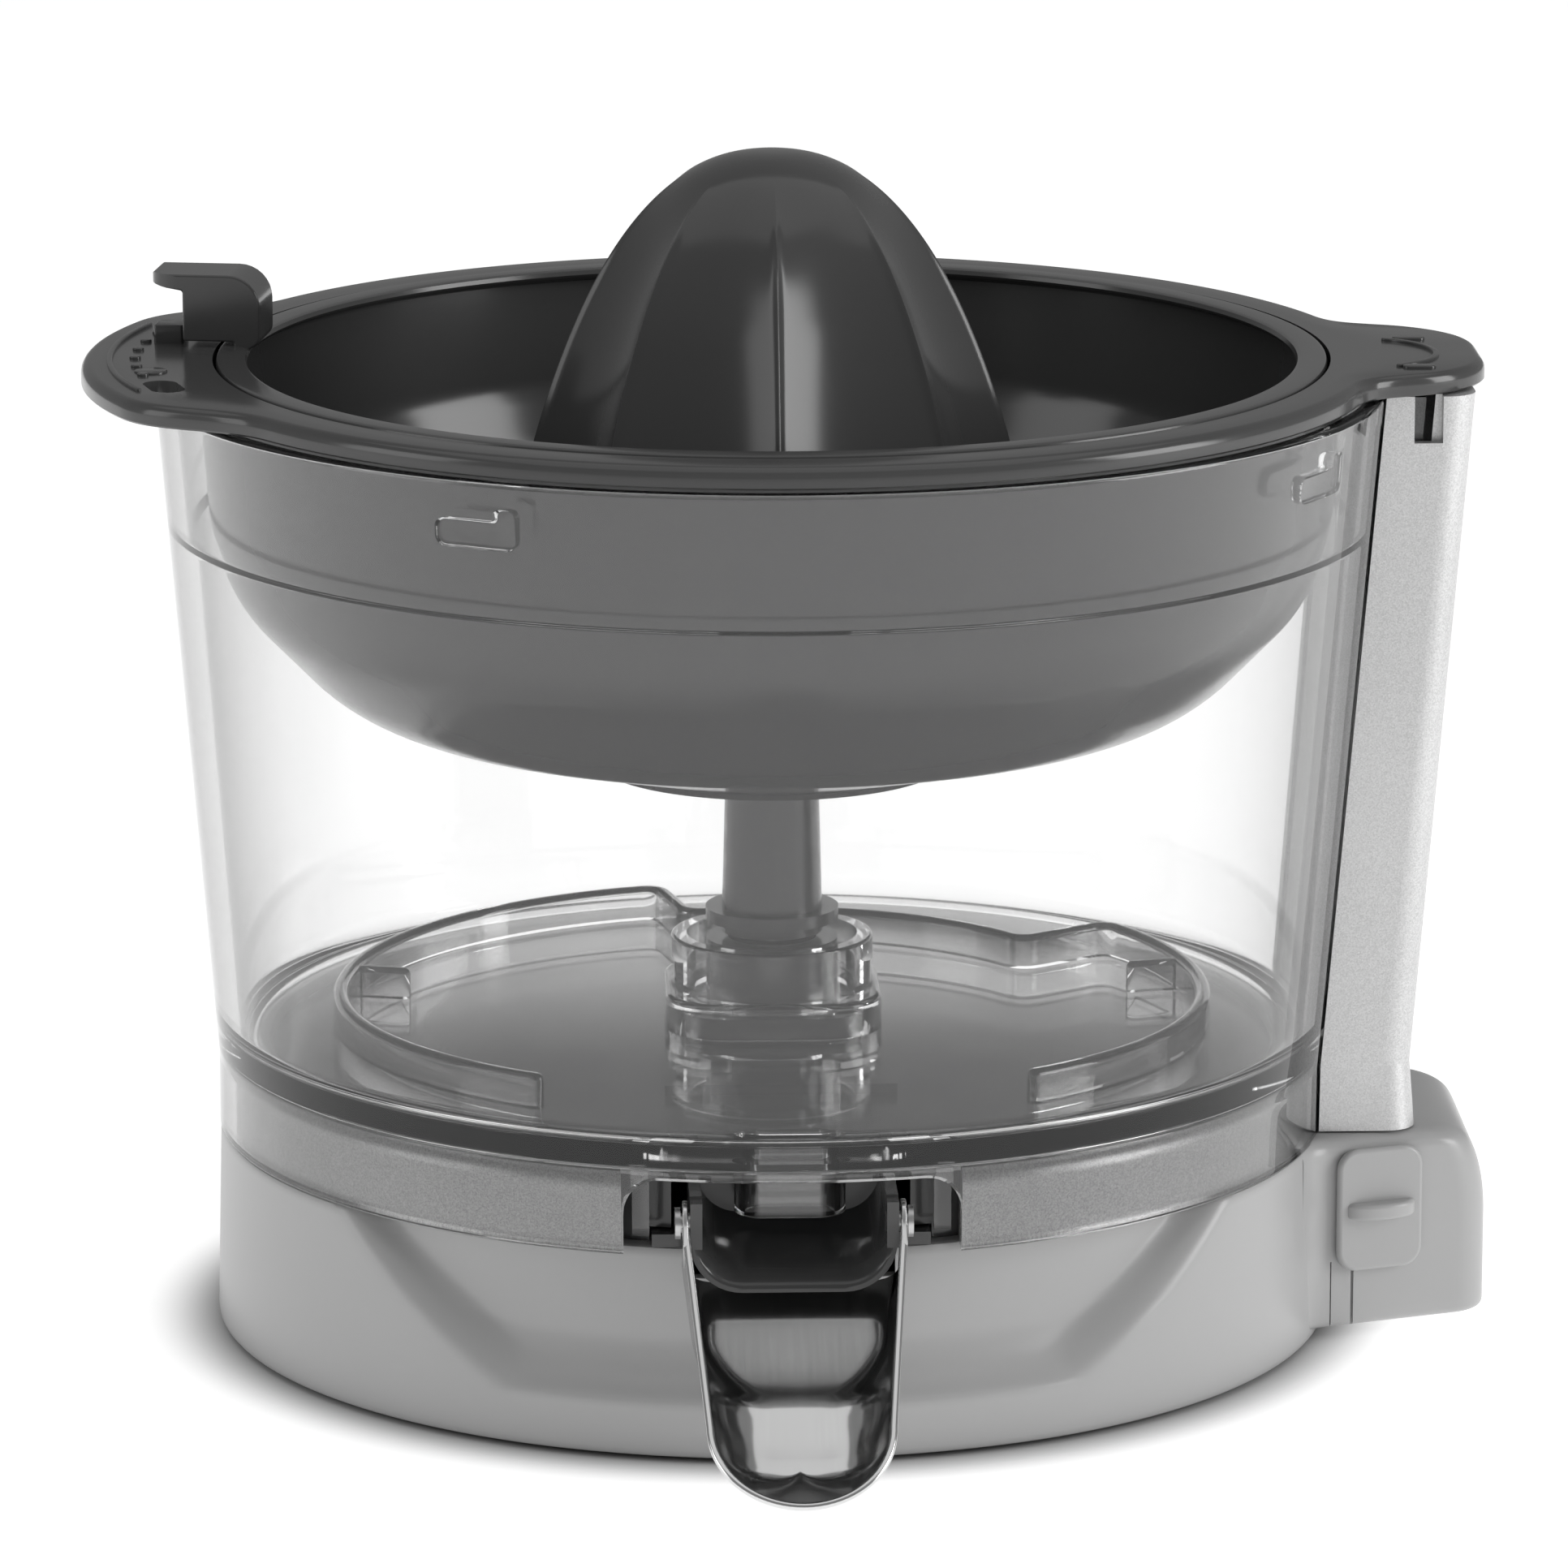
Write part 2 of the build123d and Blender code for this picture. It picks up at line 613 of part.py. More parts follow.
def gearbox_cover():
    """Cover over the gears, standing on four posts."""
    cover = slab(plate_outline(), cover_z, cover_top)
    for x, y in pillar_places():
        cover = cover + Pos(x, y, 0) * disc(PILLAR_R, plate_top, cover_z)
    for x, y in pillar_places():
        cover = cover - Pos(x, y, 0) * disc(GEARBOX_SCREW_R + FIT, plate_top, cover_top)
    return cover - disc(SHAFT_R + FACE_GAP, cover_z, cover_top)


def gearbox_screws():
    """Long screws through cover, plate and posts."""
    screw = disc(GEARBOX_SCREW_R, bottom_top + PLATE_DROP / 2, cover_top)
    screw = screw + disc(SCREW_HEAD_R, cover_top, cover_top + SCREW_HEAD_H)
    return [Pos(x, y, 0) * screw for x, y in pillar_places()]


def motor_can():
    """Motor hung under the gear plate."""
    can = Pos(0, motor_y, 0) * disc(MOTOR_R, plate_z - MOTOR_H, plate_z)
    can = can - Pos(0, motor_y, 0) * disc(MOTOR_SHAFT_R + FIT, plate_z - MOTOR_H + BASE_WALL, plate_z)
    for x in (-MOTOR_SCREW_X, MOTOR_SCREW_X):
        can = can - Pos(x, motor_y, 0) * disc(GEARBOX_SCREW_R + FIT, plate_z - MOTOR_H / 2, plate_z)
    return can


def motor_screws():
    """Screws that hold the motor to the gear plate."""
    screw = disc(GEARBOX_SCREW_R, plate_z - MOTOR_H / 2, plate_top)
    screw = screw + disc(MOTOR_HEAD_R, plate_top, plate_top + MOTOR_HEAD_H)
    return [Pos(x, motor_y, 0) * screw for x in (-MOTOR_SCREW_X, MOTOR_SCREW_X)]


def gear(module, teeth, phase, z0, z1):
    """Spur gear with involute flanks; a tooth points along the phase angle in degrees."""
    pitch = module * teeth / 2
    base = pitch * cos(radians(PRESSURE_ANGLE))
    tip = pitch + ADDENDUM * module
    root = pitch - DEDENDUM * module

    def spread(r):
        """Involute function of the pressure angle at radius r."""
        a = acos(min(1.0, base / r))
        return tan(a) - a

    half = pi / (2 * teeth) - BACKLASH / (2 * pitch) + spread(pitch)
    start = max(base, root)
    radii = [start + (tip - start) * i / 3 for i in range(4)]
    flank = [(root, half)] + [(r, half - spread(r)) for r in radii if r > root]
    points = []
    for tooth in range(teeth):
        middle = radians(phase) + 2 * pi * tooth / teeth
        side = [(r, middle - a) for r, a in flank] + [(r, middle + a) for r, a in reversed(flank)]
        points += [(r * cos(a), r * sin(a)) for r, a in side]
    return slab(make_face(Polyline(*points, close=True)), z0, z1)


def tooth_gap(teeth):
    """Phase in degrees that puts a gap, not a tooth, at the bottom of a gear."""
    return -90 + 180 / teeth


def motor_pinion():
    """Small pinion on the motor shaft."""
    pinion = gear(MODULE_FAST, PINION_TEETH, tooth_gap(PINION_TEETH), fast_z, fast_z + FAST_FACE + GEAR_GAP)
    return Pos(0, motor_y, 0) * (pinion - disc(MOTOR_SHAFT_R + FIT, fast_z, cover_z))


def motor_shaft():
    """Rotor shaft of the motor."""
    low = plate_z - MOTOR_H + BASE_WALL + FACE_GAP
    return Pos(0, motor_y, 0) * disc(MOTOR_SHAFT_R, low, fast_z + FAST_FACE + GEAR_GAP)


def idler_gear():
    """Compound gear between motor pinion and output gear."""
    wheel = gear(MODULE_FAST, WHEEL_TEETH, 90, fast_z, fast_z + FAST_FACE)
    low = fast_z + FAST_FACE
    small = gear(MODULE_SLOW, PINION_TEETH, tooth_gap(PINION_TEETH), low, slow_z + SLOW_FACE)
    return Pos(0, idler_y, 0) * (wheel + small - disc(IDLER_PIN_R + FIT, 0, cover_z))


def output_gear():
    """Large gear on the drive shaft."""
    wheel = gear(MODULE_SLOW, WHEEL_TEETH, 90, slow_z, slow_z + SLOW_FACE)
    hub = disc(BUSH_R, plate_top + FACE_GAP, slow_z)
    return wheel + hub - disc(SHAFT_R + FIT, 0, cover_z)


def output_shaft():
    """Steel drive shaft from the lower bush up into the sleeve."""
    return disc(SHAFT_R, plate_z - BUSH_H / 2, hex_z + HEX_H / 2)


def hexagon(flats, z0, z1):
    """Six-sided prism with a flat towards the spout."""
    return slab(RegularPolygon(flats / 2, 6, major_radius=False), z0, z1)


def drive_sleeve():
    """Tapered sleeve over the drive shaft with a slinger flange and a hexagon for the cone."""
    sleeve = turned([
        (0, sleeve_z),
        (SLEEVE_LOW_R, sleeve_z),
        (SLEEVE_LOW_R, flange_z),
        (FLANGE_R, flange_z),
        (FLANGE_R, flange_top),
        (SLEEVE_LOW_R, flange_top),
        (SLEEVE_MID_R, flange_top + SLEEVE_MID_H),
        (SLEEVE_TOP_R, hex_z),
        (0, hex_z),
    ])
    sleeve = sleeve + hexagon(HEX_FLATS, hex_z, hex_top)
    return sleeve - disc(SHAFT_R + FIT, sleeve_z, hex_z + HEX_H / 2)


def juice_vessel():
    """Clear container: drafted wall, skirt, floor, dome, chimney, dam, outlet and tracks."""
    outline = [
        (skirt_r, shelf_z),
        (vessel_r, shelf_z),
        (vessel_r, rise_z),
        (vessel_out(lip_z), lip_z),
        (vessel_out(lip_z) - LIP_WALL, lip_z),
        (vessel_out(ledge_z) - LIP_WALL, ledge_z),
        (vessel_out(ledge_z) - VESSEL_WALL, ledge_z),
        (vessel_out(floor_top) - VESSEL_WALL, floor_top),
        (0, floor_top),
        (0, floor_z),
        (skirt_r, floor_z),
    ]
    vessel = turned(outline)
    cavity_w = PEDESTAL_W + 2 * DOME_GAP
    dome_w = cavity_w + 2 * DOME_WALL
    dome = RectangleRounded(dome_w, dome_w, PEDESTAL_ROUND + DOME_GAP + DOME_WALL)
    cavity = RectangleRounded(cavity_w, cavity_w, PEDESTAL_ROUND + DOME_GAP)
    vessel = vessel + slab(dome, floor_z, dome_top) + disc(CHIMNEY_R, dome_top - DOME_WALL, chimney_top)
    vessel = vessel - slab(cavity, floor_z, dome_top - DOME_WALL)
    vessel = vessel - disc(CHIMNEY_R - CHIMNEY_WALL, floor_z, chimney_top)
    reach = CHIMNEY_R + CUT_OVER
    vessel = vessel - block(-reach, reach, -WINDOW_W / 2, WINDOW_W / 2, dome_top, dome_top + WINDOW_H)
    vessel = vessel + dam() + outlet_pipe() + clips() + column_ribs()
    vessel = vessel - outlet_hole() - arch()
    return vessel + tracks()


def dam():
    """Low wall on the floor, set in at the back and open at the front."""
    z0 = floor_top - FLOOR_T / 2
    z1 = floor_top + DAM_H
    pieces = [
        sector(DAM_R - DAM_T, DAM_R, z0, z1, *DAM_LEFT),
        sector(DAM_R - DAM_T, DAM_R, z0, z1, *DAM_RIGHT),
        sector(DAM_INNER_R - DAM_T, DAM_INNER_R, z0, z1, *DAM_BACK),
    ]
    step = block(DAM_INNER_R - DAM_T, DAM_R, -DAM_T / 2, DAM_T / 2, z0, z1)
    pieces += around(step, DAM_BACK)
    rib = block(DAM_R - DAM_RIB_L, DAM_R - DAM_T / 2, -DAM_T / 2, DAM_T / 2, z0, z1)
    pieces += around(rib, DAM_RIB_ANGLES)
    return pieces


def outlet_pipe():
    """Oval pipe that hangs from the floor over the chute."""
    oval = Pos(0, OUTLET_Y) * SlotOverall(OUTLET_W, OUTLET_D)
    return [slab(oval, floor_z - OUTLET_DROP, floor_top)]


def outlet_hole():
    """Oval hole through floor and pipe."""
    oval = Pos(0, OUTLET_Y) * SlotOverall(OUTLET_W - 2 * OUTLET_WALL, OUTLET_D - 2 * OUTLET_WALL)
    return slab(oval, floor_z - OUTLET_DROP, floor_top)


def clips():
    """Two small snap fingers under the floor beside the arch."""
    y = -sqrt(skirt_r ** 2 - (CLIP_X + CLIP_W) ** 2) + FACE_GAP
    finger = block(CLIP_X - CLIP_W / 2, CLIP_X + CLIP_W / 2, y, y + CLIP_T, floor_z - CLIP_DROP, floor_top)
    return [finger, mirror(finger, Plane.YZ)]


def arch():
    """Gate in the front of the skirt for chute and spout."""
    width = 2 * ARCH_HALF_W
    gate = RectangleRounded(width, 2 * ARCH_H, ARCH_ROUND)
    gate = Plane.XZ * Pos(0, shelf_z) * gate
    reach = extrude(gate, vessel_r + CUT_OVER)
    return reach - disc(skirt_r - FACE_GAP, 0, lip_z)


def column_ribs():
    """Two upright ribs that the handle column snaps over."""
    y = COLUMN_W / 2 - COLUMN_WALL - FIT
    low = rise_z
    rib = Polyline(
        (vessel_out(low) - LIP_WALL / 2, 0, low),
        (vessel_out(low) + COLUMN_RIB_OUT, 0, low),
        (vessel_out(lip_z) + COLUMN_RIB_OUT, 0, lip_z),
        (vessel_out(lip_z) - LIP_WALL / 2, 0, lip_z),
        close=True,
    )
    plate = extrude(make_face(rib), COLUMN_RIB_T, dir=(0, 1, 0))
    return [Pos(0, y - COLUMN_RIB_T, 0) * plate, Pos(0, -y, 0) * plate]


def tracks():
    """Bayonet tracks inside the lip: a bar with a bump at one end."""
    z1 = track_z + TRACK_H
    outer = vessel_out(track_z) - LIP_WALL / 2
    inner = vessel_out(track_z) - LIP_WALL - TRACK_PROUD
    bar = block(inner, outer, -TRACK_W / 2, TRACK_W / 2, track_z, z1)
    bump = block(inner, outer, TRACK_W / 2 - TRACK_BUMP_W, TRACK_W / 2, z1, z1 + TRACK_BUMP_H)
    return around(bar + bump, TRACK_ANGLES)


def column_section(x0, x1, width, z):
    """Plan of the column at one height."""
    plan = Pos((x0 + x1) / 2, 0) * RectangleRounded(x1 - x0, width, COLUMN_ROUND)
    return Pos(0, 0, z) * plan


def column_block(inset, low_z, high_z):
    """Leaning block of the column, drawn in by an inset."""
    depth = COLUMN_OUT + 3 * COLUMN_ROUND
    sections = []
    for z, flare in ((low_z, COLUMN_FLARE), (rise_z, 0), (high_z, 0)):
        x1 = vessel_out(max(z, rise_z)) + COLUMN_OUT + flare - inset
        sections.append(column_section(x1 - depth, x1, COLUMN_W + 2 * flare - 2 * inset, z))
    return loft(sections[:2], ruled=True) + loft(sections[1:], ruled=True)


def handle_column():
    """Silver channel on the side of the vessel."""
    low = pod_top + FACE_GAP
    shell = column_block(0, low, lip_z) - column_block(COLUMN_WALL, low, lip_z)
    wall = turned([
        (0, 0),
        (vessel_r + FACE_GAP, 0),
        (vessel_r + FACE_GAP, rise_z),
        (vessel_out(lip_z) + FACE_GAP, lip_z),
        (0, lip_z),
    ])
    shell = shell - wall
    x = vessel_out(lip_z) + COLUMN_NOTCH_X
    y = -COLUMN_W / 2 + COLUMN_WALL + FIT
    return shell - block(x, x + COLUMN_NOTCH_W, -COLUMN_W, y, lip_z - COLUMN_NOTCH_H, lip_z)


def pod_block(inset):
    """Pod outline: crowned side view crossed with a tapered plan, drawn in by an inset."""
    z0 = pod_z + inset
    z1 = pod_top - inset
    x1 = POD_END_X - inset
    crown = POD_CROWN
    side = [
        Line((0, 0, z0), (x1, 0, z0)),
        Line((x1, 0, z0), (x1, 0, z1 - crown)),
        TangentArc((x1, 0, z1 - crown), (x1 - crown, 0, z1), tangent=(0, 0, 1)),
        Line((x1 - crown, 0, z1), (0, 0, z1)),
        Line((0, 0, z1), (0, 0, z0)),
    ]
    tall = extrude(make_face(side), POD_HALF_W, dir=(0, 1, 0), both=True)
    slope = (POD_HALF_W - POD_NOSE_HALF_W) / (POD_NOSE_X - POD_FACE_X)
    wide = POD_HALF_W + slope * POD_FACE_X - inset * sqrt(1 + slope ** 2)
    end = wide - slope * x1
    plan = Polyline((0, -wide), (x1, -end), (x1, end), (0, wide), close=True)
    plan = make_face(plan)
    nose = plan.vertices().sort_by(Axis.X)[-2:]
    plan = fillet(nose, POD_ROUND)
    return tall & slab(plan, z0, z1)


def pod_face():
    """Plane of the pod's front face at the middle of the slider, looking out."""
    run = Vector(POD_NOSE_X - POD_FACE_X, POD_HALF_W - POD_NOSE_HALF_W).normalized()
    middle = Vector(POD_FACE_X, -POD_HALF_W, slider_mid) + run * SLIDER_ALONG
    return Plane(middle, x_dir=run, z_dir=Vector(run.Y, -run.X))


def switch_pod():
    """Hollow pod on the side of the housing with a slot for the switch."""
    inner = pod_block(POD_WALL)
    pod = pod_block(0) - inner - disc(BASE_R + FACE_GAP / 3, 0, pod_top)
    high = STEM_H + SLIDER_TRAVEL + 2 * SLOT_GAP
    slot = Box(STEM_W + 2 * SLOT_GAP, high, CUT_OVER)
    return pod - pod_face() * Pos(0, -SLIDER_TRAVEL / 2, 0) * slot


def switch_slider():
    """Slide switch: rounded plate, finger ridge and stem."""
    plate = extrude(RectangleRounded(SLIDER_W, SLIDER_H, SLIDER_ROUND), SLIDER_T)
    plate = fillet(plate.faces().sort_by(Axis.Z)[-1].edges(), SLIDER_T / 2)
    ridge = Ellipse(RIDGE_W / 2, RIDGE_OUT) & Pos(0, RIDGE_OUT) * Rectangle(RIDGE_W, 2 * RIDGE_OUT)
    ridge = Pos(0, RIDGE_T / 2, SLIDER_T - FIT) * Rot(90, 0, 0) * extrude(ridge, RIDGE_T)
    stem = Pos(0, 0, SLIDER_T / 2 - STEM_L / 2) * Box(STEM_W, STEM_H, STEM_L)
    return pod_face() * Pos(0, 0, SLIDER_GAP) * (plate + ridge + stem)


def power_switch():
    """Switch inside the pod with a pocket for the slider's stem."""
    pocket_w = STEM_W + 2 * SLOT_GAP
    pocket_h = STEM_H + SLIDER_TRAVEL + 2 * SLOT_GAP
    case = Box(SWITCH_W, SWITCH_H, SWITCH_D, align=(Align.CENTER, Align.CENTER, Align.MAX))
    depth = STEM_L - POD_WALL
    pocket = Box(pocket_w, pocket_h, 2 * depth)
    drop = Pos(0, -SLIDER_TRAVEL / 2, -POD_WALL - FIT)
    return pod_face() * drop * (case - pocket)


def u_face(half, top, low, bend, y):
    """U-shaped section across the run, with rounded lower corners, at one place along it."""
    bowl = FilletPolyline((-half, y, top), (-half, y, low), (half, y, low), (half, y, top), radius=bend)
    return make_face(bowl + Line((half, y, top), (-half, y, top)))


def chute_channel(inset, past):
    """Sloping channel, drawn in by an inset and run on past its lip."""
    half = CHUTE_W / 2 - inset
    low = lip_in_z - CHUTE_WALL + inset
    top = shelf_z + CHUTE_TOP + past
    slope = tan(radians(CHUTE_SLOPE))
    back = CHUTE_BACK_Y - inset
    front = CHUTE_LIP_Y - past
    bend = CHUTE_ROUND - inset
    return loft([
        u_face(half, top, low - slope * past, bend, front),
        u_face(half, top, low + slope * (back - CHUTE_LIP_Y), bend, back),
    ], ruled=True)


def outlet_chute():
    """Dark channel that catches the juice under the outlet, with wings on the shelf."""
    half = CHUTE_W / 2
    top = shelf_z + CHUTE_TOP
    wide = half + WING_W
    wing = block(-wide, wide, -SCOOP_R + BASE_WALL, CHUTE_BACK_Y, shelf_z, shelf_z + WING_T)
    chute = chute_channel(0, 0) + wing - chute_channel(CHUTE_WALL, CUT_OVER)
    cheek = block(half - CHUTE_WALL, half, CHUTE_LIP_Y - EAR_R, CHUTE_LIP_Y, pivot_z - EAR_R, top)
    chute = chute + cheek + mirror(cheek, Plane.YZ)
    return chute - Pos(0, PIVOT_Y, pivot_z) * Rot(0, 90, 0) * Cylinder(PIN_R + FIT, 2 * CHUTE_W)


def spout_pins():
    """Two headed pins that the spout turns on."""
    ear = CHUTE_W / 2 + SPOUT_GAP + SPOUT_WALL
    low = (Align.CENTER, Align.CENTER, Align.MIN)
    pin = Cylinder(PIN_R, ear + FACE_GAP - CHUTE_W / 2 + CHUTE_WALL, align=low)
    head = Pos(0, 0, ear + FACE_GAP - CHUTE_W / 2 + CHUTE_WALL) * Cylinder(PIN_HEAD_R, PIN_HEAD_T, align=low)
    turn = Pos(CHUTE_W / 2 - CHUTE_WALL, PIVOT_Y, pivot_z) * Rot(0, 90, 0)
    right = turn * (pin + head)
    return [right, mirror(right, Plane.YZ)]


def trough_body(inset):
    """Scoop along its own run: tapered trough and a round tip, with the pivot at the origin."""
    wide = CHUTE_W / 2 + SPOUT_GAP + SPOUT_WALL - inset
    tip = SPOUT_TIP_W / 2 - inset
    end = SPOUT_LEN - SPOUT_TIP_W / 2
    start = SPOUT_START - inset
    top = SPOUT_RIM + inset
    bend = SPOUT_ROUND - inset
    low = -SPOUT_TIP_DEPTH + inset
    straight = loft([
        u_face(wide, top, -SPOUT_DEPTH + inset, bend, start),
        u_face(tip, top, low, bend, end),
    ], ruled=True)
    side = FilletPolyline((tip, 0, top), (tip, 0, low), (0, 0, low), radius=bend)
    face = make_face(side + Polyline((0, 0, low), (0, 0, top), (tip, 0, top)))
    return straight + Pos(0, end, 0) * revolve(face, Axis.Z, 180)


def spout_trough():
    """Polished spout: thin scoop with two ears on the pivot."""
    trough = trough_body(0) - trough_body(SPOUT_WALL)
    half = CHUTE_W / 2 + SPOUT_GAP
    ear = Rot(0, 90, 0) * Cylinder(EAR_R, SPOUT_WALL, align=(Align.CENTER, Align.CENTER, Align.MIN))
    web = block(0, SPOUT_WALL, 0, SPOUT_START + EAR_R, -EAR_R, SPOUT_RIM)
    ear = Pos(half, 0, 0) * (ear + web - Rot(0, 90, 0) * Cylinder(PIN_R + FIT, CHUTE_W))
    trough = trough + ear + mirror(ear, Plane.YZ)
    facing = Rot(0, 0, 180) * trough
    return Pos(0, PIVOT_Y, pivot_z) * Rot(SPOUT_TILT, 0, 0) * facing


def dish(shift, z_top):
    """Solid inside of the bowl shape, drawn in by a shift, up to a height."""
    points = [
        (BOWL_TOP_R, 0),
        (BOWL_SIDE_R, BOWL_SIDE_DROP),
        (BOWL_HIP_R, BOWL_HIP_DROP),
        (BOWL_KNEE_R, BOWL_KNEE_DROP),
        (BOWL_PAN_R, BOWL_PAN_DROP),
        (BOWL_PAN_R - (BOWL_DEPTH - BOWL_PAN_DROP), BOWL_DEPTH),
    ]
    path = [(r - shift, 0, collar_z - drop + shift) for r, drop in points]
    top = path[0]
    above = (top[0], 0, z_top)
    curve = FilletPolyline(*path, radius=list(BOWL_ROUNDS))
    rest = Polyline(path[-1], (0, 0, path[-1][2]), (0, 0, z_top), above, top)
    return revolve(make_face(curve + rest), Axis.Z)


def floor_slots(width):
    """Ring of upright cutters for the strainer slots."""
    slot = block(SLOT_IN_R, SLOT_OUT_R, -width / 2, width / 2, bowl_z, collar_z - BOWL_HIP_DROP)
    return around(slot, [360 * i / SLOT_COUNT for i in range(SLOT_COUNT)])


def rim_corners(plan, side):
    """Corners where a tab meets the collar's rim, on one side of the drive axis."""
    on_rim = plan.vertices().filter_by(lambda v: abs(sqrt(v.X ** 2 + v.Y ** 2) - COLLAR_R) < FIT)
    return on_rim.filter_by(lambda v: v.X * side > COLLAR_R / 2)


def collar_plan():
    """Plan of the collar: a disc with a crescent tab on the left and a tongue on the right."""
    centre_x = LEFT_TAB_R - LEFT_TAB_REACH
    window = Pos(-LEFT_TAB_REACH / 2, 0) * Rectangle(LEFT_TAB_REACH, 2 * LEFT_TAB_HALF_W)
    left = Pos(centre_x, 0) * Circle(LEFT_TAB_R) & window
    end_x = centre_x - sqrt(LEFT_TAB_R ** 2 - LEFT_TAB_HALF_W ** 2)
    run = -sqrt(COLLAR_R ** 2 - LEFT_TAB_HALF_W ** 2) - end_x
    left = fillet(left.vertices().sort_by(Axis.X)[:2], min(LEFT_TAB_ROUND, 0.7 * run))
    right = Pos(RIGHT_TAB_REACH / 2, 0) * Rectangle(RIGHT_TAB_REACH, 2 * RIGHT_TAB_HALF_W)
    tongue = RIGHT_TAB_REACH - sqrt(COLLAR_R ** 2 - RIGHT_TAB_HALF_W ** 2)
    right = fillet(right.vertices().sort_by(Axis.X)[-2:], min(RIGHT_TAB_ROUND, 0.6 * tongue))
    plan = Circle(COLLAR_R) + left + right
    plan = fillet(rim_corners(plan, -1), min(TAB_BLEND, 0.7 * run))
    return fillet(rim_corners(plan, 1), min(TAB_BLEND, 0.4 * tongue))


def strainer_bowl():
    """Dark outer strainer: collar with tabs, bowl, central tube and bayonet lugs."""
    collar = slab(collar_plan(), collar_z, collar_top)
    rim = collar.faces().sort_by(Axis.Z)[-1].edges()
    collar = fillet(rim, COLLAR_ROUND)
    slot = Rot(0, 0, 90) * SlotOverall(TAB_SLOT_L, TAB_SLOT_W)
    slot = Rot(0, 0, TAB_SLOT_ANGLE) * Pos(TAB_SLOT_R, 0) * slot
    collar = collar - slab(slot, collar_z, collar_top) - disc(SEAM_R, collar_z, collar_top)
    bowl = dish(0, collar_z + FIT) - dish(BOWL_WALL, collar_top)
    bowl = bowl + disc(tube_r, bowl_z, tube_top) - disc(BOWL_BORE, bowl_z, tube_top)
    bowl = bowl - floor_slots(SLOT_W)
    high = track_z - FACE_GAP
    reach = vessel_out(high - LUG_H) - LIP_WALL - FACE_GAP
    lug = block(BOWL_SIDE_R - BOWL_WALL / 2, reach, -LUG_W / 2, LUG_W / 2, high - LUG_H, high)
    lug = lug & disc(reach, high - LUG_H, high)
    return collar + bowl + around(lug, TRACK_ANGLES)


def pulp_basket():
    """Inner strainer with a rim, slots and the pulp lever."""
    top = collar_top + BASKET_RIM_RISE
    inside = basket_shift + BASKET_WALL
    wall = dish(basket_shift, top - BASKET_RIM_T) - dish(inside, top)
    rim_r = SEAM_R - BASKET_GAP
    rim = tube(rim_r, MOUTH_R, top - BASKET_RIM_T, top)
    tube_in = tube_r + BASKET_TUBE_GAP
    high = tube_top - BASKET_TUBE_DROP
    low = bowl_z + basket_shift
    stem = disc(tube_in + BASKET_TUBE_WALL, low, high)
    basket = wall + rim + stem - disc(tube_in, low, high)
    basket = basket - floor_slots(SLOT_W)
    return basket + lever()


def lever():
    """Pulp lever: a rounded hook on the rim that reaches out over the left tab."""
    low = collar_top + LEVER_LIFT
    top = collar_top + LEVER_H
    base = collar_top + BASKET_RIM_RISE - BASKET_RIM_T / 2
    foot_r = SEAM_R - BASKET_GAP - FACE_GAP
    outline = FilletPolyline(
        (foot_r, 0, base),
        (foot_r, 0, low),
        (LEVER_BLOCK_R, 0, low),
        (LEVER_BLOCK_R, 0, top - LEVER_PLATE_T),
        (LEVER_TIP_R, 0, top - LEVER_TIP_T),
        (LEVER_TIP_R, 0, top),
        (LEVER_IN_R, 0, top),
        (LEVER_IN_R, 0, low),
        (MOUTH_R, 0, base),
        radius=4 * [LEVER_EDGE] + [LEVER_TIP_ROUND] + 2 * [LEVER_ROUND],
    )
    face = make_face(outline + Line((MOUTH_R, 0, base), (foot_r, 0, base)))
    hook = extrude(face, LEVER_W / 2, dir=(0, 1, 0), both=True)
    return Rot(0, 0, LEVER_ANGLE) * hook


def thrust_washer():
    """Washer clipped under the cone, which runs on the bowl's tube."""
    return tube(WASHER_R, WASHER_BORE, washer_z, washer_z + WASHER_T)


def ridge_r(share):
    """Radius of the cone's ridges at a share of its height."""
    return REAMER_R * (1 - share ** REAMER_TOP_POWER) ** (1 / REAMER_SIDE_POWER)


def fluted_section(r, dish_depth, z):
    """Plan of the cone with concave arcs between its ridges."""
    step = 360 / FLUTES
    edges = []
    for i in range(FLUTES):
        a = -90 + i * step
        valley = r * cos(radians(step / 2)) - dish_depth
        ends = [at_angle(r, a), at_angle(valley, a + step / 2), at_angle(r, a + step)]
        edges.append(ThreePointArc(*ends))
    return Pos(0, 0, z) * make_face(edges)


def flute_dish(share, r):
    """Flute depth below the chord: full at the base, a round dome past the end of the flutes."""
    crown = -r * (1 - cos(pi / FLUTES))
    fade = min(1.0, share / FLUTE_END) ** 3
    return FLUTE_DISH * (1 - fade) * (1 - share) + crown * fade


def reamer_cone():
    """Hollow fluted cone with a hexagon socket."""
    base = reamer_z
    sections = []
    for share in REAMER_LEVELS:
        r = ridge_r(share)
        sections.append(fluted_section(r, flute_dish(share, r), base + share * REAMER_H))
    cone = loft(sections, ruled=True)
    inner = []
    for share in CAVITY_LEVELS:
        r = ridge_r(share) * cos(pi / FLUTES) - FLUTE_DISH - REAMER_WALL
        inner.append((r, base + share * REAMER_H))
    cavity = turned([(0, base)] + inner + [(0, inner[-1][1])])
    hub = disc(HUB_R, hub_z, inner[-1][1] + REAMER_WALL / 2)
    cone = cone - (cavity - hub)
    return cone - hexagon(HEX_FLATS + 2 * HEX_GAP, hub_z, hex_top + FACE_GAP)


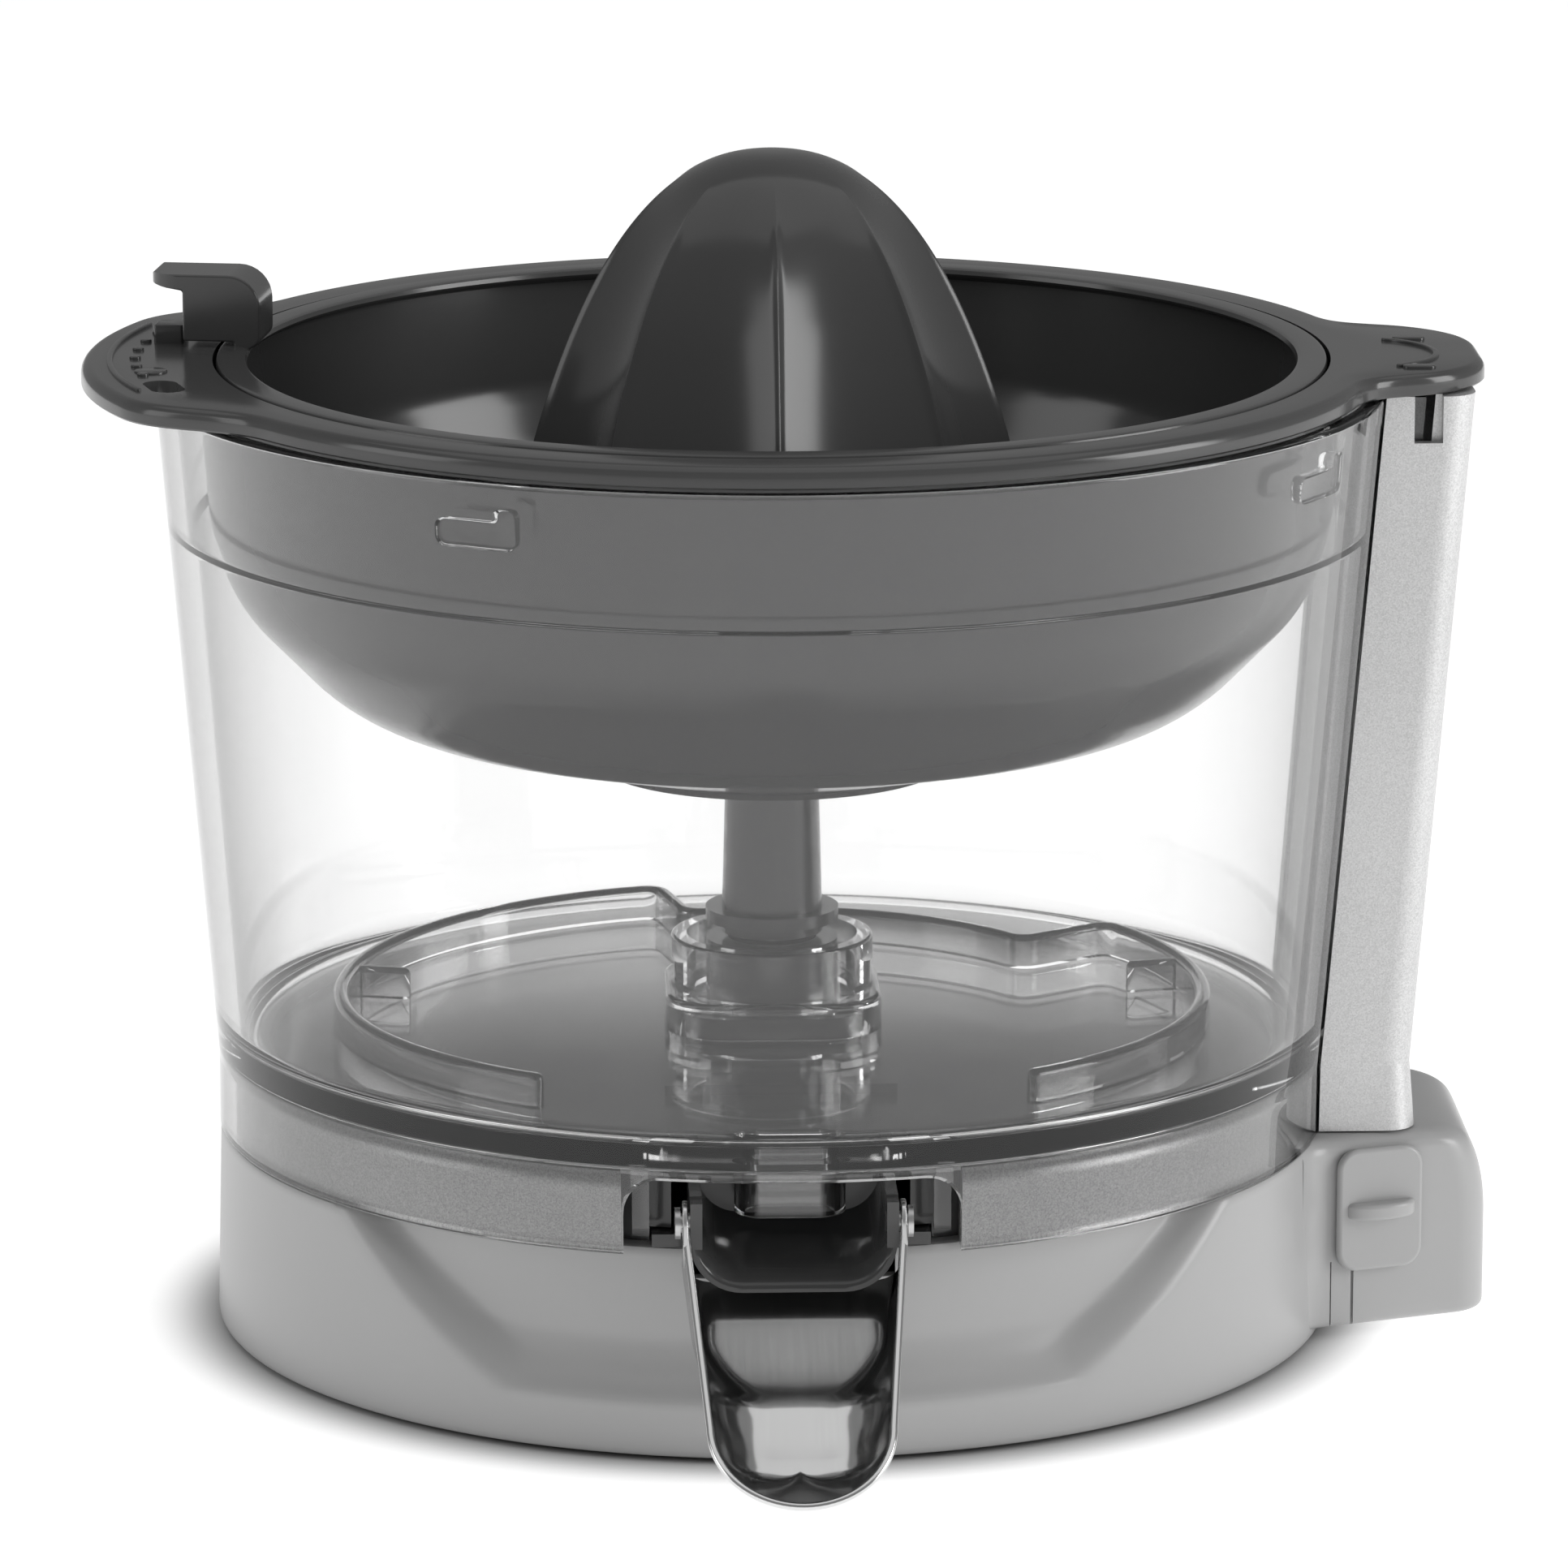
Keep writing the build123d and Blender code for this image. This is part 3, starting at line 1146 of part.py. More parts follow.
def basket_floor_z(r):
    """Height of the basket floor under a radius, on the straight stretch of the dish."""
    slope = (BOWL_PAN_DROP - BOWL_KNEE_DROP) / (BOWL_KNEE_R - BOWL_PAN_R)
    inside = basket_shift + BASKET_WALL
    return collar_z - BOWL_PAN_DROP + inside + slope * (r + inside - BOWL_PAN_R)


reamer_z = basket_floor_z(REAMER_R) + REAMER_CLEAR

NODES = [
    base_housing, base_trim_ring, base_top_cover, bottom_cover, anti_slip_ring, base_screws,
    motor_can, motor_screws, motor_shaft, motor_pinion, gear_plate, gearbox_cover, gearbox_screws,
    idler_gear, idler_pin, output_gear, output_shaft, lower_bush, upper_bush, spindle_seal, drive_sleeve,
    juice_vessel, handle_column, switch_pod, switch_slider, power_switch, cord_gland,
    outlet_chute, spout_pins, spout_trough, strainer_bowl, pulp_basket, thrust_washer, reamer_cone,
]

os.makedirs("parts", exist_ok=True)
for node in NODES:
    shape = node()
    if isinstance(shape, list):
        shape = Compound(children=shape)
    export_step(shape, "parts/" + node.__name__ + ".step")
    print(node.__name__, round(shape.volume, 1))
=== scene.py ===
# %% [markdown]
# # A citrus press juicer, dressed in Blender
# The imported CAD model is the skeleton: it holds every solid, joint and size. This lesson puts a finer skin
# on what shows, gives each piece a finish, and lights it as a product picture. All places are in the CAD's
# own frame, so nothing has to be fitted by eye.

# %% Load the frame
import json
from math import atan2, cos, pi, radians, sin, tan

import bmesh
import bpy
import numpy as np
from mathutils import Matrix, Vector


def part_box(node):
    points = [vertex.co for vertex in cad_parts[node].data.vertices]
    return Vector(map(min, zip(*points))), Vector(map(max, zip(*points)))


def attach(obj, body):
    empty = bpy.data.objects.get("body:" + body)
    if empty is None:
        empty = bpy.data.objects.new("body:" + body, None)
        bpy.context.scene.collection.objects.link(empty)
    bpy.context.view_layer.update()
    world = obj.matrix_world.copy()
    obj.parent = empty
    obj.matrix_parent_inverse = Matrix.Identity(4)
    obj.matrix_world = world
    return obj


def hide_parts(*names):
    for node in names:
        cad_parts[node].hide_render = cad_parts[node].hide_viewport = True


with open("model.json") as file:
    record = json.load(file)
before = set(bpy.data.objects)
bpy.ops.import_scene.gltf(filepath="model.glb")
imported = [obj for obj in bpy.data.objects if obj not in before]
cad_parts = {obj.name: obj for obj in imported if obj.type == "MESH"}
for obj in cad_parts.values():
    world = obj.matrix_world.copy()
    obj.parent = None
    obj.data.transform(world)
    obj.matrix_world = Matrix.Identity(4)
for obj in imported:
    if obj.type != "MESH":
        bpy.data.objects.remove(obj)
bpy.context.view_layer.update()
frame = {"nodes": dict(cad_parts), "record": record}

nodes = frame["nodes"]

# %% [markdown]
# ## Surfaces from arrays
# Most moulded parts are a profile carried round an axis, or a stack of outlines. Both are grids of points,
# so one helper can turn any grid into a mesh. Millimetres are easier to think in, so the grid is scaled to
# metres only at the end. Rows that meet in a point are merged, and the faces are turned outwards.

# %% Grid helper
MM = 0.001
MERGE = 1e-6
SHARP_ANGLE = 38


def grid_quads(rows, columns, wrap_rows, wrap_columns):
    """Corner numbers of the quads between grid points, closed round where asked."""
    index = np.arange(rows * columns).reshape(rows, columns)
    if wrap_rows:
        index = np.vstack([index, index[:1]])
    if wrap_columns:
        index = np.hstack([index, index[:, :1]])
    corners = [index[:-1, :-1], index[1:, :-1], index[1:, 1:], index[:-1, 1:]]
    return np.stack(corners, axis=-1).reshape(-1, 4)


def settle(piece, sharp=SHARP_ANGLE):
    """Merges doubles, turns the faces outwards and shades smooth up to an angle."""
    work = bmesh.new()
    work.from_mesh(piece.data)
    bmesh.ops.remove_doubles(work, verts=work.verts, dist=MERGE)
    bmesh.ops.dissolve_degenerate(work, edges=work.edges, dist=MERGE)
    bmesh.ops.recalc_face_normals(work, faces=work.faces)
    work.to_mesh(piece.data)
    work.free()
    piece.data.shade_smooth()
    piece.data.set_sharp_from_angle(angle=radians(sharp))
    return piece


def new_piece(name, points, faces, sharp=SHARP_ANGLE):
    """A mesh object at the origin from points in millimetres and corner lists."""
    mesh = bpy.data.meshes.new(name)
    mesh.from_pydata((np.asarray(points) * MM).tolist(), [], faces)
    piece = bpy.data.objects.new(name, mesh)
    bpy.context.scene.collection.objects.link(piece)
    return settle(piece, sharp)


def surface(name, grid, wrap_rows=True, wrap_columns=True, caps=False, sharp=SHARP_ANGLE):
    """A piece from a grid of points. Caps close the first and last row with one flat face each."""
    rows, columns = grid.shape[:2]
    faces = grid_quads(rows, columns, wrap_rows, wrap_columns).tolist()
    if caps:
        faces.append(list(range(columns)))
        faces.append(list(range((rows - 1) * columns, rows * columns)))
    return new_piece(name, grid.reshape(-1, 3), faces, sharp)


# %% [markdown]
# ## Profiles
# A drawing gives corners and radii. The next helper walks along the corners and puts an arc of the given
# radius in each one, which is what a mould maker does with the drawing. Another shifts a path sideways, so
# the inside of a wall comes from its outside.

# %% Profile helpers


def rounded_path(corners, radii, steps=8):
    """Open path through corners, with an arc of each radius in its corner."""
    corners = np.asarray(corners, float)
    path = [corners[:1]]
    for before, corner, after, radius in zip(corners[:-2], corners[1:-1], corners[2:], radii):
        back = (before - corner) / np.linalg.norm(before - corner)
        ahead = (after - corner) / np.linalg.norm(after - corner)
        half = np.arccos(np.clip(back @ ahead, -1, 1)) / 2
        if radius <= 0 or half > pi / 2 - 1e-4:
            path.append(corner[None])
            continue
        middle = (back + ahead) / np.linalg.norm(back + ahead)
        centre = corner + middle * radius / sin(half)
        start = corner + back * radius / tan(half) - centre
        sweep = pi - 2 * half
        turn = np.linspace(0, sweep, steps + 1)[:, None]
        side = corner + ahead * radius / tan(half) - centre
        arc = (start * np.sin(sweep - turn) + side * np.sin(turn)) / sin(sweep)
        path.append(centre + arc)
    path.append(corners[-1:])
    return np.vstack(path)


def shifted(path, distance):
    """The path moved sideways to its left by a distance, along the normal at each point."""
    run = np.gradient(path, axis=0)
    run /= np.linalg.norm(run, axis=1)[:, None]
    return path + distance * np.stack([-run[:, 1], run[:, 0]], axis=1)


def turned(radius, height, angle):
    """Grid of a profile carried round the axis: (r cos a, r sin a, z) for each angle and point."""
    radius, height, angle = np.broadcast_arrays(radius, height, angle)
    return np.stack([radius * np.cos(angle), radius * np.sin(angle), height], axis=-1)


def full_turn(count):
    """Angles round the axis as a column, without the closing one."""
    return np.linspace(0, 2 * pi, count, endpoint=False)[:, None]


def on_ray(angle, out, across, z):
    """Points by their distance out along a ray, across it to the left, and up."""
    x = out * cos(angle) - across * sin(angle)
    y = out * sin(angle) + across * cos(angle)
    return np.stack([x, y, z], axis=-1)


def soft_rectangle(wide, tall, corner):
    """Rectangle with round corners, from its half width and half height, as a closed loop."""
    loop = [(0, -tall), (wide, -tall), (wide, tall), (-wide, tall), (-wide, -tall), (0, -tall)]
    return rounded_path(loop, [corner] * 4)[:-1]


# %% [markdown]
# ## Cutting and joining
# Slots and windows are cut with a Boolean, applied at once so that the finished mesh is what is kept.
# Pieces that are moulded in one, such as a rim and its lever, are joined into one object.

# %% Cutting helpers


def apply_all(piece):
    """Replaces the piece's mesh with its modified one, and drops the modifiers."""
    graph = bpy.context.evaluated_depsgraph_get()
    result = bpy.data.meshes.new_from_object(piece.evaluated_get(graph))
    piece.modifiers.clear()
    piece.data = result


def carve(piece, cutter, operation="DIFFERENCE"):
    """Applies an exact Boolean of a cutter to a piece, and removes the cutter."""
    boolean = piece.modifiers.new("carve", "BOOLEAN")
    boolean.object = cutter
    boolean.operation = operation
    boolean.solver = "EXACT"
    apply_all(piece)
    bpy.data.objects.remove(cutter)
    return settle(piece)


def flatten(piece):
    """Weights each normal by the area of its faces, so a flat face stays flat beside its rounds."""
    weigh = piece.modifiers.new("weigh", "WEIGHTED_NORMAL")
    weigh.keep_sharp = True
    apply_all(piece)
    return piece


def joined(name, pieces, sharp=SHARP_ANGLE):
    """One object that holds the meshes of several pieces."""
    work = bmesh.new()
    for piece in pieces:
        work.from_mesh(piece.data)
        bpy.data.objects.remove(piece)
    mesh = bpy.data.meshes.new(name)
    work.to_mesh(mesh)
    work.free()
    whole = bpy.data.objects.new(name, mesh)
    bpy.context.scene.collection.objects.link(whole)
    return settle(whole, sharp)


def prism(name, outline, low, high, place, edge=0.0, steps=3):
    """Outline pulled from low to high, with its two rims rounded by an edge radius.

    Near each rim the outline is drawn in by e (1 - sin t) while the height moves by e (1 - cos t).
    place turns (outline x, outline y, height) columns into points of the frame.
    """
    turn = np.linspace(0, pi / 2, steps + 1)
    closed = np.vstack([outline[-1:], outline, outline[:1]])
    inward = [shifted(closed, edge * (1 - sin(t)))[1:-1] for t in turn]
    area = np.sum(outline[:, 0] * np.roll(outline[:, 1], -1) - outline[:, 1] * np.roll(outline[:, 0], -1))
    if area < 0:
        inward = [2 * outline - ring for ring in inward]
    rows = [(ring, low + edge * (1 - cos(t))) for ring, t in zip(inward, turn)]
    rows += [(ring, low + high - height) for ring, height in rows[::-1]]
    grid = np.stack([place(ring[:, 0], ring[:, 1], np.full(len(ring), height)) for ring, height in rows])
    return surface(name, grid, wrap_rows=False, caps=True)


def block(name, low, high):
    """Plain box between two corners, used as a cutter."""
    x, y, z = zip(low, high)
    ring = np.array([(x[0], y[0]), (x[1], y[0]), (x[1], y[1]), (x[0], y[1])])
    grid = np.stack([np.column_stack([ring, np.full(4, height)]) for height in z])
    return surface(name, grid, wrap_rows=False, caps=True)


def smooth_min(a, b, blend):
    """Lower of two values, with the corner rounded over a blend: (a + b - sqrt((a - b)^2 + k^2)) / 2."""
    return (a + b - np.sqrt((a - b) ** 2 + blend ** 2)) / 2


def smooth_max(a, b, blend):
    """Higher of two values, with the corner rounded over a blend."""
    return -smooth_min(-a, -b, blend)


# %% [markdown]
# ## Shader maths
# A finish is a sum of small patterns. This class wraps a socket so that patterns can be added and
# multiplied with ordinary operators, and it makes any other node from its type, its settings and its
# inputs.

# %% Shader helper


class Pattern:
    """A socket of a finish. Operators add Math nodes, and node() adds any other node."""

    def __init__(self, tree, socket):
        self.tree = tree
        self.socket = socket

    def node(self, kind, settings=(), inputs=(), output=0):
        """Adds a node, sets its settings, then its sockets, and gives one output."""
        new = self.tree.nodes.new(kind)
        for key, value in dict(settings).items():
            setattr(new, key, value)
        for key, value in dict(inputs).items():
            if isinstance(value, Pattern):
                self.tree.links.new(value.socket, new.inputs[key])
            else:
                new.inputs[key].default_value = value
        return Pattern(self.tree, new.outputs[output])

    def math(self, operation, first, second):
        """One step of arithmetic on two values or patterns."""
        return self.node("ShaderNodeMath", {"operation": operation}, {0: first, 1: second})

    def __add__(self, other):
        return self.math("ADD", self, other)

    def __sub__(self, other):
        return self.math("SUBTRACT", self, other)

    def __rsub__(self, other):
        return self.math("SUBTRACT", other, self)

    def __mul__(self, other):
        return self.math("MULTIPLY", self, other)

    __radd__ = __add__
    __rmul__ = __mul__

    def noise(self, scale, detail=2.0):
        """Cloudy pattern about zero, from -0.5 to 0.5, on these coordinates."""
        cloud = self.node("ShaderNodeTexNoise", {}, {"Vector": self, "Scale": scale, "Detail": detail})
        return cloud - 0.5

    def mix(self, low, high):
        """Colour that goes from low to high as this value goes from 0 to 1."""
        settings = {"data_type": "RGBA", "clamp_factor": True}
        inputs = {0: self, 6: (*low, 1), 7: (*high, 1)}
        return self.node("ShaderNodeMix", settings, inputs, output=2)

    def bump(self, strength, distance):
        """Small relief from this height."""
        inputs = {"Height": self, "Strength": strength, "Distance": distance}
        return self.node("ShaderNodeBump", {}, inputs)


def new_finish(name):
    """An empty finish: its material, its main shader and the object's own coordinates."""
    material = bpy.data.materials.new(name)
    material.use_nodes = True
    tree = material.node_tree
    shader = tree.nodes["Principled BSDF"]
    places = tree.nodes.new("ShaderNodeTexCoord")
    return material, shader, Pattern(tree, places.outputs["Object"])


def feed(shader, pattern, socket):
    """Links a pattern to one socket of the shader."""
    pattern.tree.links.new(pattern.socket, shader.inputs[socket])


# %% [markdown]
# ## Moulded plastics, rubber and metals
# Injection moulded plastic is one colour with a faint cloudiness, and its gloss changes slightly where the
# mould was polished by hand. So colour and roughness each get a slow and a fine noise, and a very low bump
# gives the orange peel that breaks up reflections.

# %% Plain finishes
CLOUD_SCALE = 28.0
GRAIN_SCALE = 900.0
PEEL_DEPTH = 0.0004
finishes = {}


def plastic_finish(name, dark, light, rough, spread, peel=0.003, metallic=0.0):
    """Colour drifts between dark and light, roughness by a spread, and a fine grain lifts the surface."""
    material, shader, where = new_finish(name)
    slow = where.noise(CLOUD_SCALE, 3.0)
    fine = where.noise(GRAIN_SCALE)
    waves = where.noise(GRAIN_SCALE / 4)
    feed(shader, (slow * 0.7 + fine * 0.2 + 0.5).mix(dark, light), "Base Color")
    feed(shader, rough + slow * spread + fine * spread * 0.4, "Roughness")
    feed(shader, (fine + waves * 2.0).bump(peel, PEEL_DEPTH), "Normal")
    shader.inputs["Metallic"].default_value = metallic
    finishes[name] = material


def grey(value):
    """The same value in red, green and blue."""
    return (value, value, value)


plastic_finish("grey_shell", grey(0.40), grey(0.44), 0.30, 0.06)
plastic_finish("dark_plastic", grey(0.060), grey(0.072), 0.17, 0.06)
plastic_finish("black_plastic", grey(0.018), grey(0.026), 0.45, 0.12)
plastic_finish("foot_rubber", grey(0.020), grey(0.034), 0.75, 0.15, peel=0.12)
plastic_finish("screw_steel", grey(0.50), grey(0.60), 0.32, 0.20, metallic=1.0)
plastic_finish("gear_brass", (0.60, 0.42, 0.16), (0.72, 0.52, 0.22), 0.34, 0.20, metallic=1.0)
plastic_finish("gear_nylon", grey(0.66), grey(0.74), 0.42, 0.12)
print("plain finishes", sorted(finishes))

# %% [markdown]
# ## Silver paint
# The column and the shoulder ring carry a metallic paint. Its flakes lie at slightly different angles, so
# up close it sparkles. Cells of a fifth of a millimetre vary the colour and tilt the surface a little. The
# ring lies under the clear skirt, and its colour is set darker than the column's: the colour steps down
# inside a radius.

# %% Silver paint
FLAKE_SCALE = 5000.0
RING_DARK_STEP = (0.0862, 0.0866)
material, shader, where = new_finish("silver_paint")
cells = {"Vector": where, "Scale": FLAKE_SCALE}
flake = where.node("ShaderNodeTexVoronoi", {"feature": "F1"}, cells, output=1)
flake = where.node("ShaderNodeRGBToBW", {}, {0: flake})
cloud = where.noise(40.0)
flat = where.node("ShaderNodeVectorMath", {"operation": "MULTIPLY"}, {0: where, 1: (1, 1, 0)})
away = where.node("ShaderNodeVectorMath", {"operation": "LENGTH"}, {0: flat}, output=1)
# The colour is set darker inside this radius, on the ring under the clear skirt, than on the column.
reach = {"Value": away, "From Min": RING_DARK_STEP[0], "From Max": RING_DARK_STEP[1]}
column = where.node("ShaderNodeMapRange", {}, reach)
feed(shader, (flake * 0.4 + cloud * 0.2 + column * 0.55).mix(grey(0.20), grey(0.78)), "Base Color")
feed(shader, 0.34 + flake * 0.10 + cloud * 0.05, "Roughness")
feed(shader, flake.bump(0.05, 0.0002), "Normal")
shader.inputs["Metallic"].default_value = 0.55
finishes["silver_paint"] = material

# %% [markdown]
# ## Clear plastic and polished steel
# The container is clear styrene: a refracting shader with an index near 1.5. It is faintly smoky. Where an
# upright wall is seen edge-on its colour is painted darker by the viewing angle, a painted shade for the
# dark lines at the wall's edges. The level floor stays clear. Handling leaves faint scuffs, so the roughness
# drifts a little. The spout is polished steel with hair-fine draw marks along its length.

# %% Clear plastic and steel
EDGE_SHADE_FACING = (0.2, 0.86)
material, shader, where = new_finish("clear_plastic")
scuff = where.noise(60.0, 4.0)
facing = where.node("ShaderNodeLayerWeight", {}, {"Blend": 0.5}, output=1)
reach = {"Value": facing, "From Min": EDGE_SHADE_FACING[0], "From Max": EDGE_SHADE_FACING[1]}
painted_edge_shade = where.node("ShaderNodeMapRange", {}, reach)
normal = where.node("ShaderNodeNewGeometry", output="Normal")
level = where.node("ShaderNodeSeparateXYZ", {}, {0: normal}, output=2)
upright_wall = 1 - level * level
# Painted shade: the colour darkens by the viewing angle where an upright wall is seen edge-on.
feed(shader, (painted_edge_shade * painted_edge_shade * upright_wall + scuff * 0.04).mix(grey(0.95), grey(0.08)), "Base Color")
feed(shader, 0.02 + scuff * 0.03, "Roughness")
shader.inputs["Transmission Weight"].default_value = 1.0
shader.inputs["IOR"].default_value = 1.50
finishes["clear_plastic"] = material

material, shader, where = new_finish("polished_steel")
along = where.node("ShaderNodeMapping", {}, {"Vector": where, "Scale": (1.0, 0.05, 0.05)})
draw = along.noise(1800.0)
feed(shader, (where.noise(50.0) + draw * 0.3 + 0.5).mix(grey(0.62), grey(0.74)), "Base Color")
feed(shader, 0.15 + draw * 0.06, "Roughness")
shader.inputs["Metallic"].default_value = 1.0
finishes["polished_steel"] = material
print("all finishes", sorted(finishes))

# %% [markdown]
# ## Dressing a piece
# A new piece has to say three things: which CAD solid it stands for, which body it moves with, and which
# finish slot it takes. One call does all three. Solids that are right as they are get only a finish.

# %% Dressing helpers
body_of = {}
for body, members in frame["record"]["behaviour"]["bodies"].items():
    for member in members:
        body_of[member] = body


def dress(piece, node, finish):
    """The piece replaces a CAD node, rides on its body and takes a finish."""
    piece.data.materials.clear()
    piece.data.materials.append(finishes[finish])
    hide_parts(node)
    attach(piece, body_of[node])
    print(piece.name, len(piece.data.polygons), "faces, for", node)
    return piece


def smooth_copy(node, name, sharp=SHARP_ANGLE):
    """The CAD solid's own mesh, merged, with new normals instead of the stored ones."""
    piece = bpy.data.objects.new(name, nodes[node].data.copy())
    stored = piece.data.attributes.get("custom_normal")
    if stored:
        piece.data.attributes.remove(stored)
    bpy.context.scene.collection.objects.link(piece)
    return flatten(settle(piece, sharp))


# %% [markdown]
# ## Base shell
# The base is a drum with a scoop in its front. Seen from above, the wall's radius at each angle and height
# is the drum's radius, except where two tilted planes let the scoop in, and there it is the scoop's back
# wall. Taking soft minima and maxima of these radii rounds the edges as the moulding has them.

# %% Base shell
BASE_R = 89.0
BASE_LOW = 0.8
SHELF_Z = 32.3
SHELF_R = 74.0
BASE_WALL = 2.4
BASE_DRAFT = 0.8
SCOOP_R = 83.0
SCOOP_BEND = 18.8
SCOOP_RAMP = 9.75
SCOOP_SIDE = 55.6
SCOOP_LEAN = 0.97


def base_radius(angle, z):
    """Soft min of the drum and the scoop, which is the soft max of its back wall and its tilted sides.

    The back wall is upright down to the bend and then an arc out to the drum: r + p - sqrt(p^2 - d^2).
    """
    drum = BASE_R - BASE_DRAFT * (z - BASE_LOW) / (SHELF_Z - BASE_LOW)
    drop = np.clip(SCOOP_BEND - z, 0, SCOOP_RAMP - 0.1)
    back = SCOOP_R + SCOOP_RAMP - np.sqrt(SCOOP_RAMP ** 2 - drop ** 2)
    side = (SCOOP_SIDE + SCOOP_LEAN * (SHELF_Z - z)) / np.maximum(-np.sin(angle), 0.2)
    return smooth_min(drum, smooth_max(back, side, 1.0), 1.6)


def base_grid(angle):
    """Closed section: lower rim, outer wall, shelf and inner wall, for each angle."""
    wall = [np.linspace(2.0, 9.0, 8), np.linspace(9.5, 19.5, 21), np.linspace(20.5, 30.5, 11)]
    wall = np.concatenate(wall)
    outer_z = np.concatenate([BASE_LOW + np.array([0, 0.15, 0.5]), wall, SHELF_Z - np.array([0.8, 0.25, 0])])
    inset = np.concatenate([[0.9, 0.4, 0.1], np.zeros(len(wall)), [0.0, 0.25, 0.8]])
    outer = base_radius(angle, outer_z) - inset
    inner_z = np.concatenate([[SHELF_Z - BASE_WALL], wall[wall < 29][::-1], [BASE_LOW]])
    inner = base_radius(angle, inner_z) - BASE_WALL
    ledge = np.full((len(angle), 1), SHELF_R)
    radius = np.hstack([outer, ledge, ledge, inner])
    height = np.concatenate([outer_z, [SHELF_Z, SHELF_Z - BASE_WALL], inner_z])
    return turned(radius, height, angle)


CHUTE_GAP = 15.75
CHUTE_FLOOR = 27.65
CABLE_R = 6.05
CABLE_Z = 14.8
front = np.concatenate([np.arange(0, 19, 1.0), np.arange(19, 54, 0.25), np.arange(54, 180.1, 1.5)])
ring = np.radians(-90 + np.concatenate([-front[:0:-1], front[:-1]]))[:, None]
base = surface("base_shell", base_grid(ring), sharp=50)
carve(base, block("chute_gap", (-CHUTE_GAP, -95, CHUTE_FLOOR), (CHUTE_GAP, -66, 40)))
hole = full_turn(40)
across, up = CABLE_R * np.cos(hole), CABLE_Z + CABLE_R * np.sin(hole)
cable = np.stack([np.hstack([across, np.full_like(hole, y), up]) for y in (80, 95)])
carve(base, surface("cable_hole", cable, wrap_rows=False, caps=True))
dress(base, "base_housing", "grey_shell")

# %% [markdown]
# ## Side pod and its switch
# The pod that holds the switch is a stack of plans. Each plan swells out of the drum with a hollow round,
# tapers to a blunt nose, and draws back towards the top along a quarter of an ellipse, so the pod has a
# soft crown. A slit and a parting line run down from the slide button.

# %% Side pod
POD_LOW = 2.3
POD_TOP = 33.1
POD_END = 113.4
POD_EDGE = 2.6
POD_FOOT = 1.2
POD_BACK = np.array([76.0, -28.0])
CROWN_IN, CROWN_DOWN = 6.5, 15.0
ROOT_CENTRE = np.array([90.2, -34.1])
ROOT_R = 8.0
ROOT_TURN = (159.3, 108.4)
NOSE_R = 7.0
SIDE_START = 55.67
SIDE_SLANT = 1.054
MIRROR = np.array([1, -1])


def pod_plan(end, inset):
    """Hollow round out of the drum, then sides that close by a third, then a nose with two rounds."""
    turn = np.radians(np.linspace(*ROOT_TURN, 9))
    root = ROOT_CENTRE + (ROOT_R + inset) * np.column_stack([np.cos(turn), np.sin(turn)])
    half = SIDE_START - end / 3 - inset * SIDE_SLANT
    corners = [root[-1], (end - inset, -half), (end - inset, half), root[-1] * MIRROR]
    nose = rounded_path(corners, [NOSE_R - inset] * 2, steps=10)
    return np.vstack([POD_BACK, root[:-1], nose, root[-2::-1] * MIRROR, POD_BACK * MIRROR])


def pod_level(z):
    """Plan at a height: how far the nose has drawn back, and how far the rims are rounded in."""
    up = np.clip((z - POD_TOP + CROWN_DOWN) / CROWN_DOWN, 0, 1)
    end = POD_END - CROWN_IN * (1 - np.sqrt(1 - up ** 2))
    top = np.clip(z - POD_TOP + POD_EDGE, 0, POD_EDGE)
    low = np.clip(POD_LOW + POD_FOOT - z, 0, POD_FOOT)
    inset = POD_EDGE - np.sqrt(POD_EDGE ** 2 - top ** 2) + POD_FOOT - np.sqrt(POD_FOOT ** 2 - low ** 2)
    plan = pod_plan(end, inset)
    return np.column_stack([plan, np.full(len(plan), z)])


rise = POD_LOW + POD_FOOT * (1 - np.cos(np.linspace(0, pi / 2, 5)))
crown = POD_TOP - CROWN_DOWN + CROWN_DOWN * np.sin(np.linspace(0, pi / 2, 30))
levels = np.concatenate([rise, np.linspace(5, 17, 7), crown])
pod = surface("side_pod", np.stack([pod_level(z) for z in levels]), wrap_rows=False, caps=True, sharp=50)
carve(pod, block("slit", (91.0, -40, 0), (91.45, -24.4, 13.2)))
carve(pod, block("parting", (87.6, -40, 0), (87.8, -25.8, 13.2)))
dress(pod, "switch_pod", "grey_shell")

# %% Slide button
FACE_RUN = np.array([21.0, 7.0, 0]) / np.hypot(21, 7)
FACE_OUT = np.array([7.0, -21.0, 0]) / np.hypot(21, 7)
FACE_MIDDLE = np.array([86.0, -27.0, 21.7]) + 9.6 * FACE_RUN


def face_place(along, up, out):
    """On the pod's front face: along it, up, and out from it."""
    up_way = np.array([0, 0, 1.0])
    return FACE_MIDDLE + np.multiply.outer(along, FACE_RUN) + np.multiply.outer(up, up_way) \
        + np.multiply.outer(out, FACE_OUT)


def fin_place(along, out, up):
    """The finger fin is drawn in plan and is thick upwards."""
    return face_place(along, up, out)


FIN_HALF, FIN_FOOT, FIN_OUT = 5.75, 1.6, 2.8
plate = soft_rectangle(7.3, 10, 3.4)
turn = np.linspace(0, pi, 33)
fin = np.column_stack([FIN_HALF * np.cos(turn), FIN_FOOT + FIN_OUT * np.sin(turn)])
fin = np.vstack([fin, [(-FIN_HALF, -0.6), (FIN_HALF, -0.6)]])
stem = np.array([(-2.5, -2.5), (2.5, -2.5), (2.5, 2.5), (-2.5, 2.5)])
button = joined("slide_button", [prism("plate", plate, 0.2, 1.8, face_place, edge=0.75, steps=6),
                                 prism("fin", fin, -1.3, 1.3, fin_place, edge=0.7, steps=6),
                                 prism("stem", stem, -5.4, 1.0, face_place)])
dress(flatten(button), "switch_slider", "grey_shell")

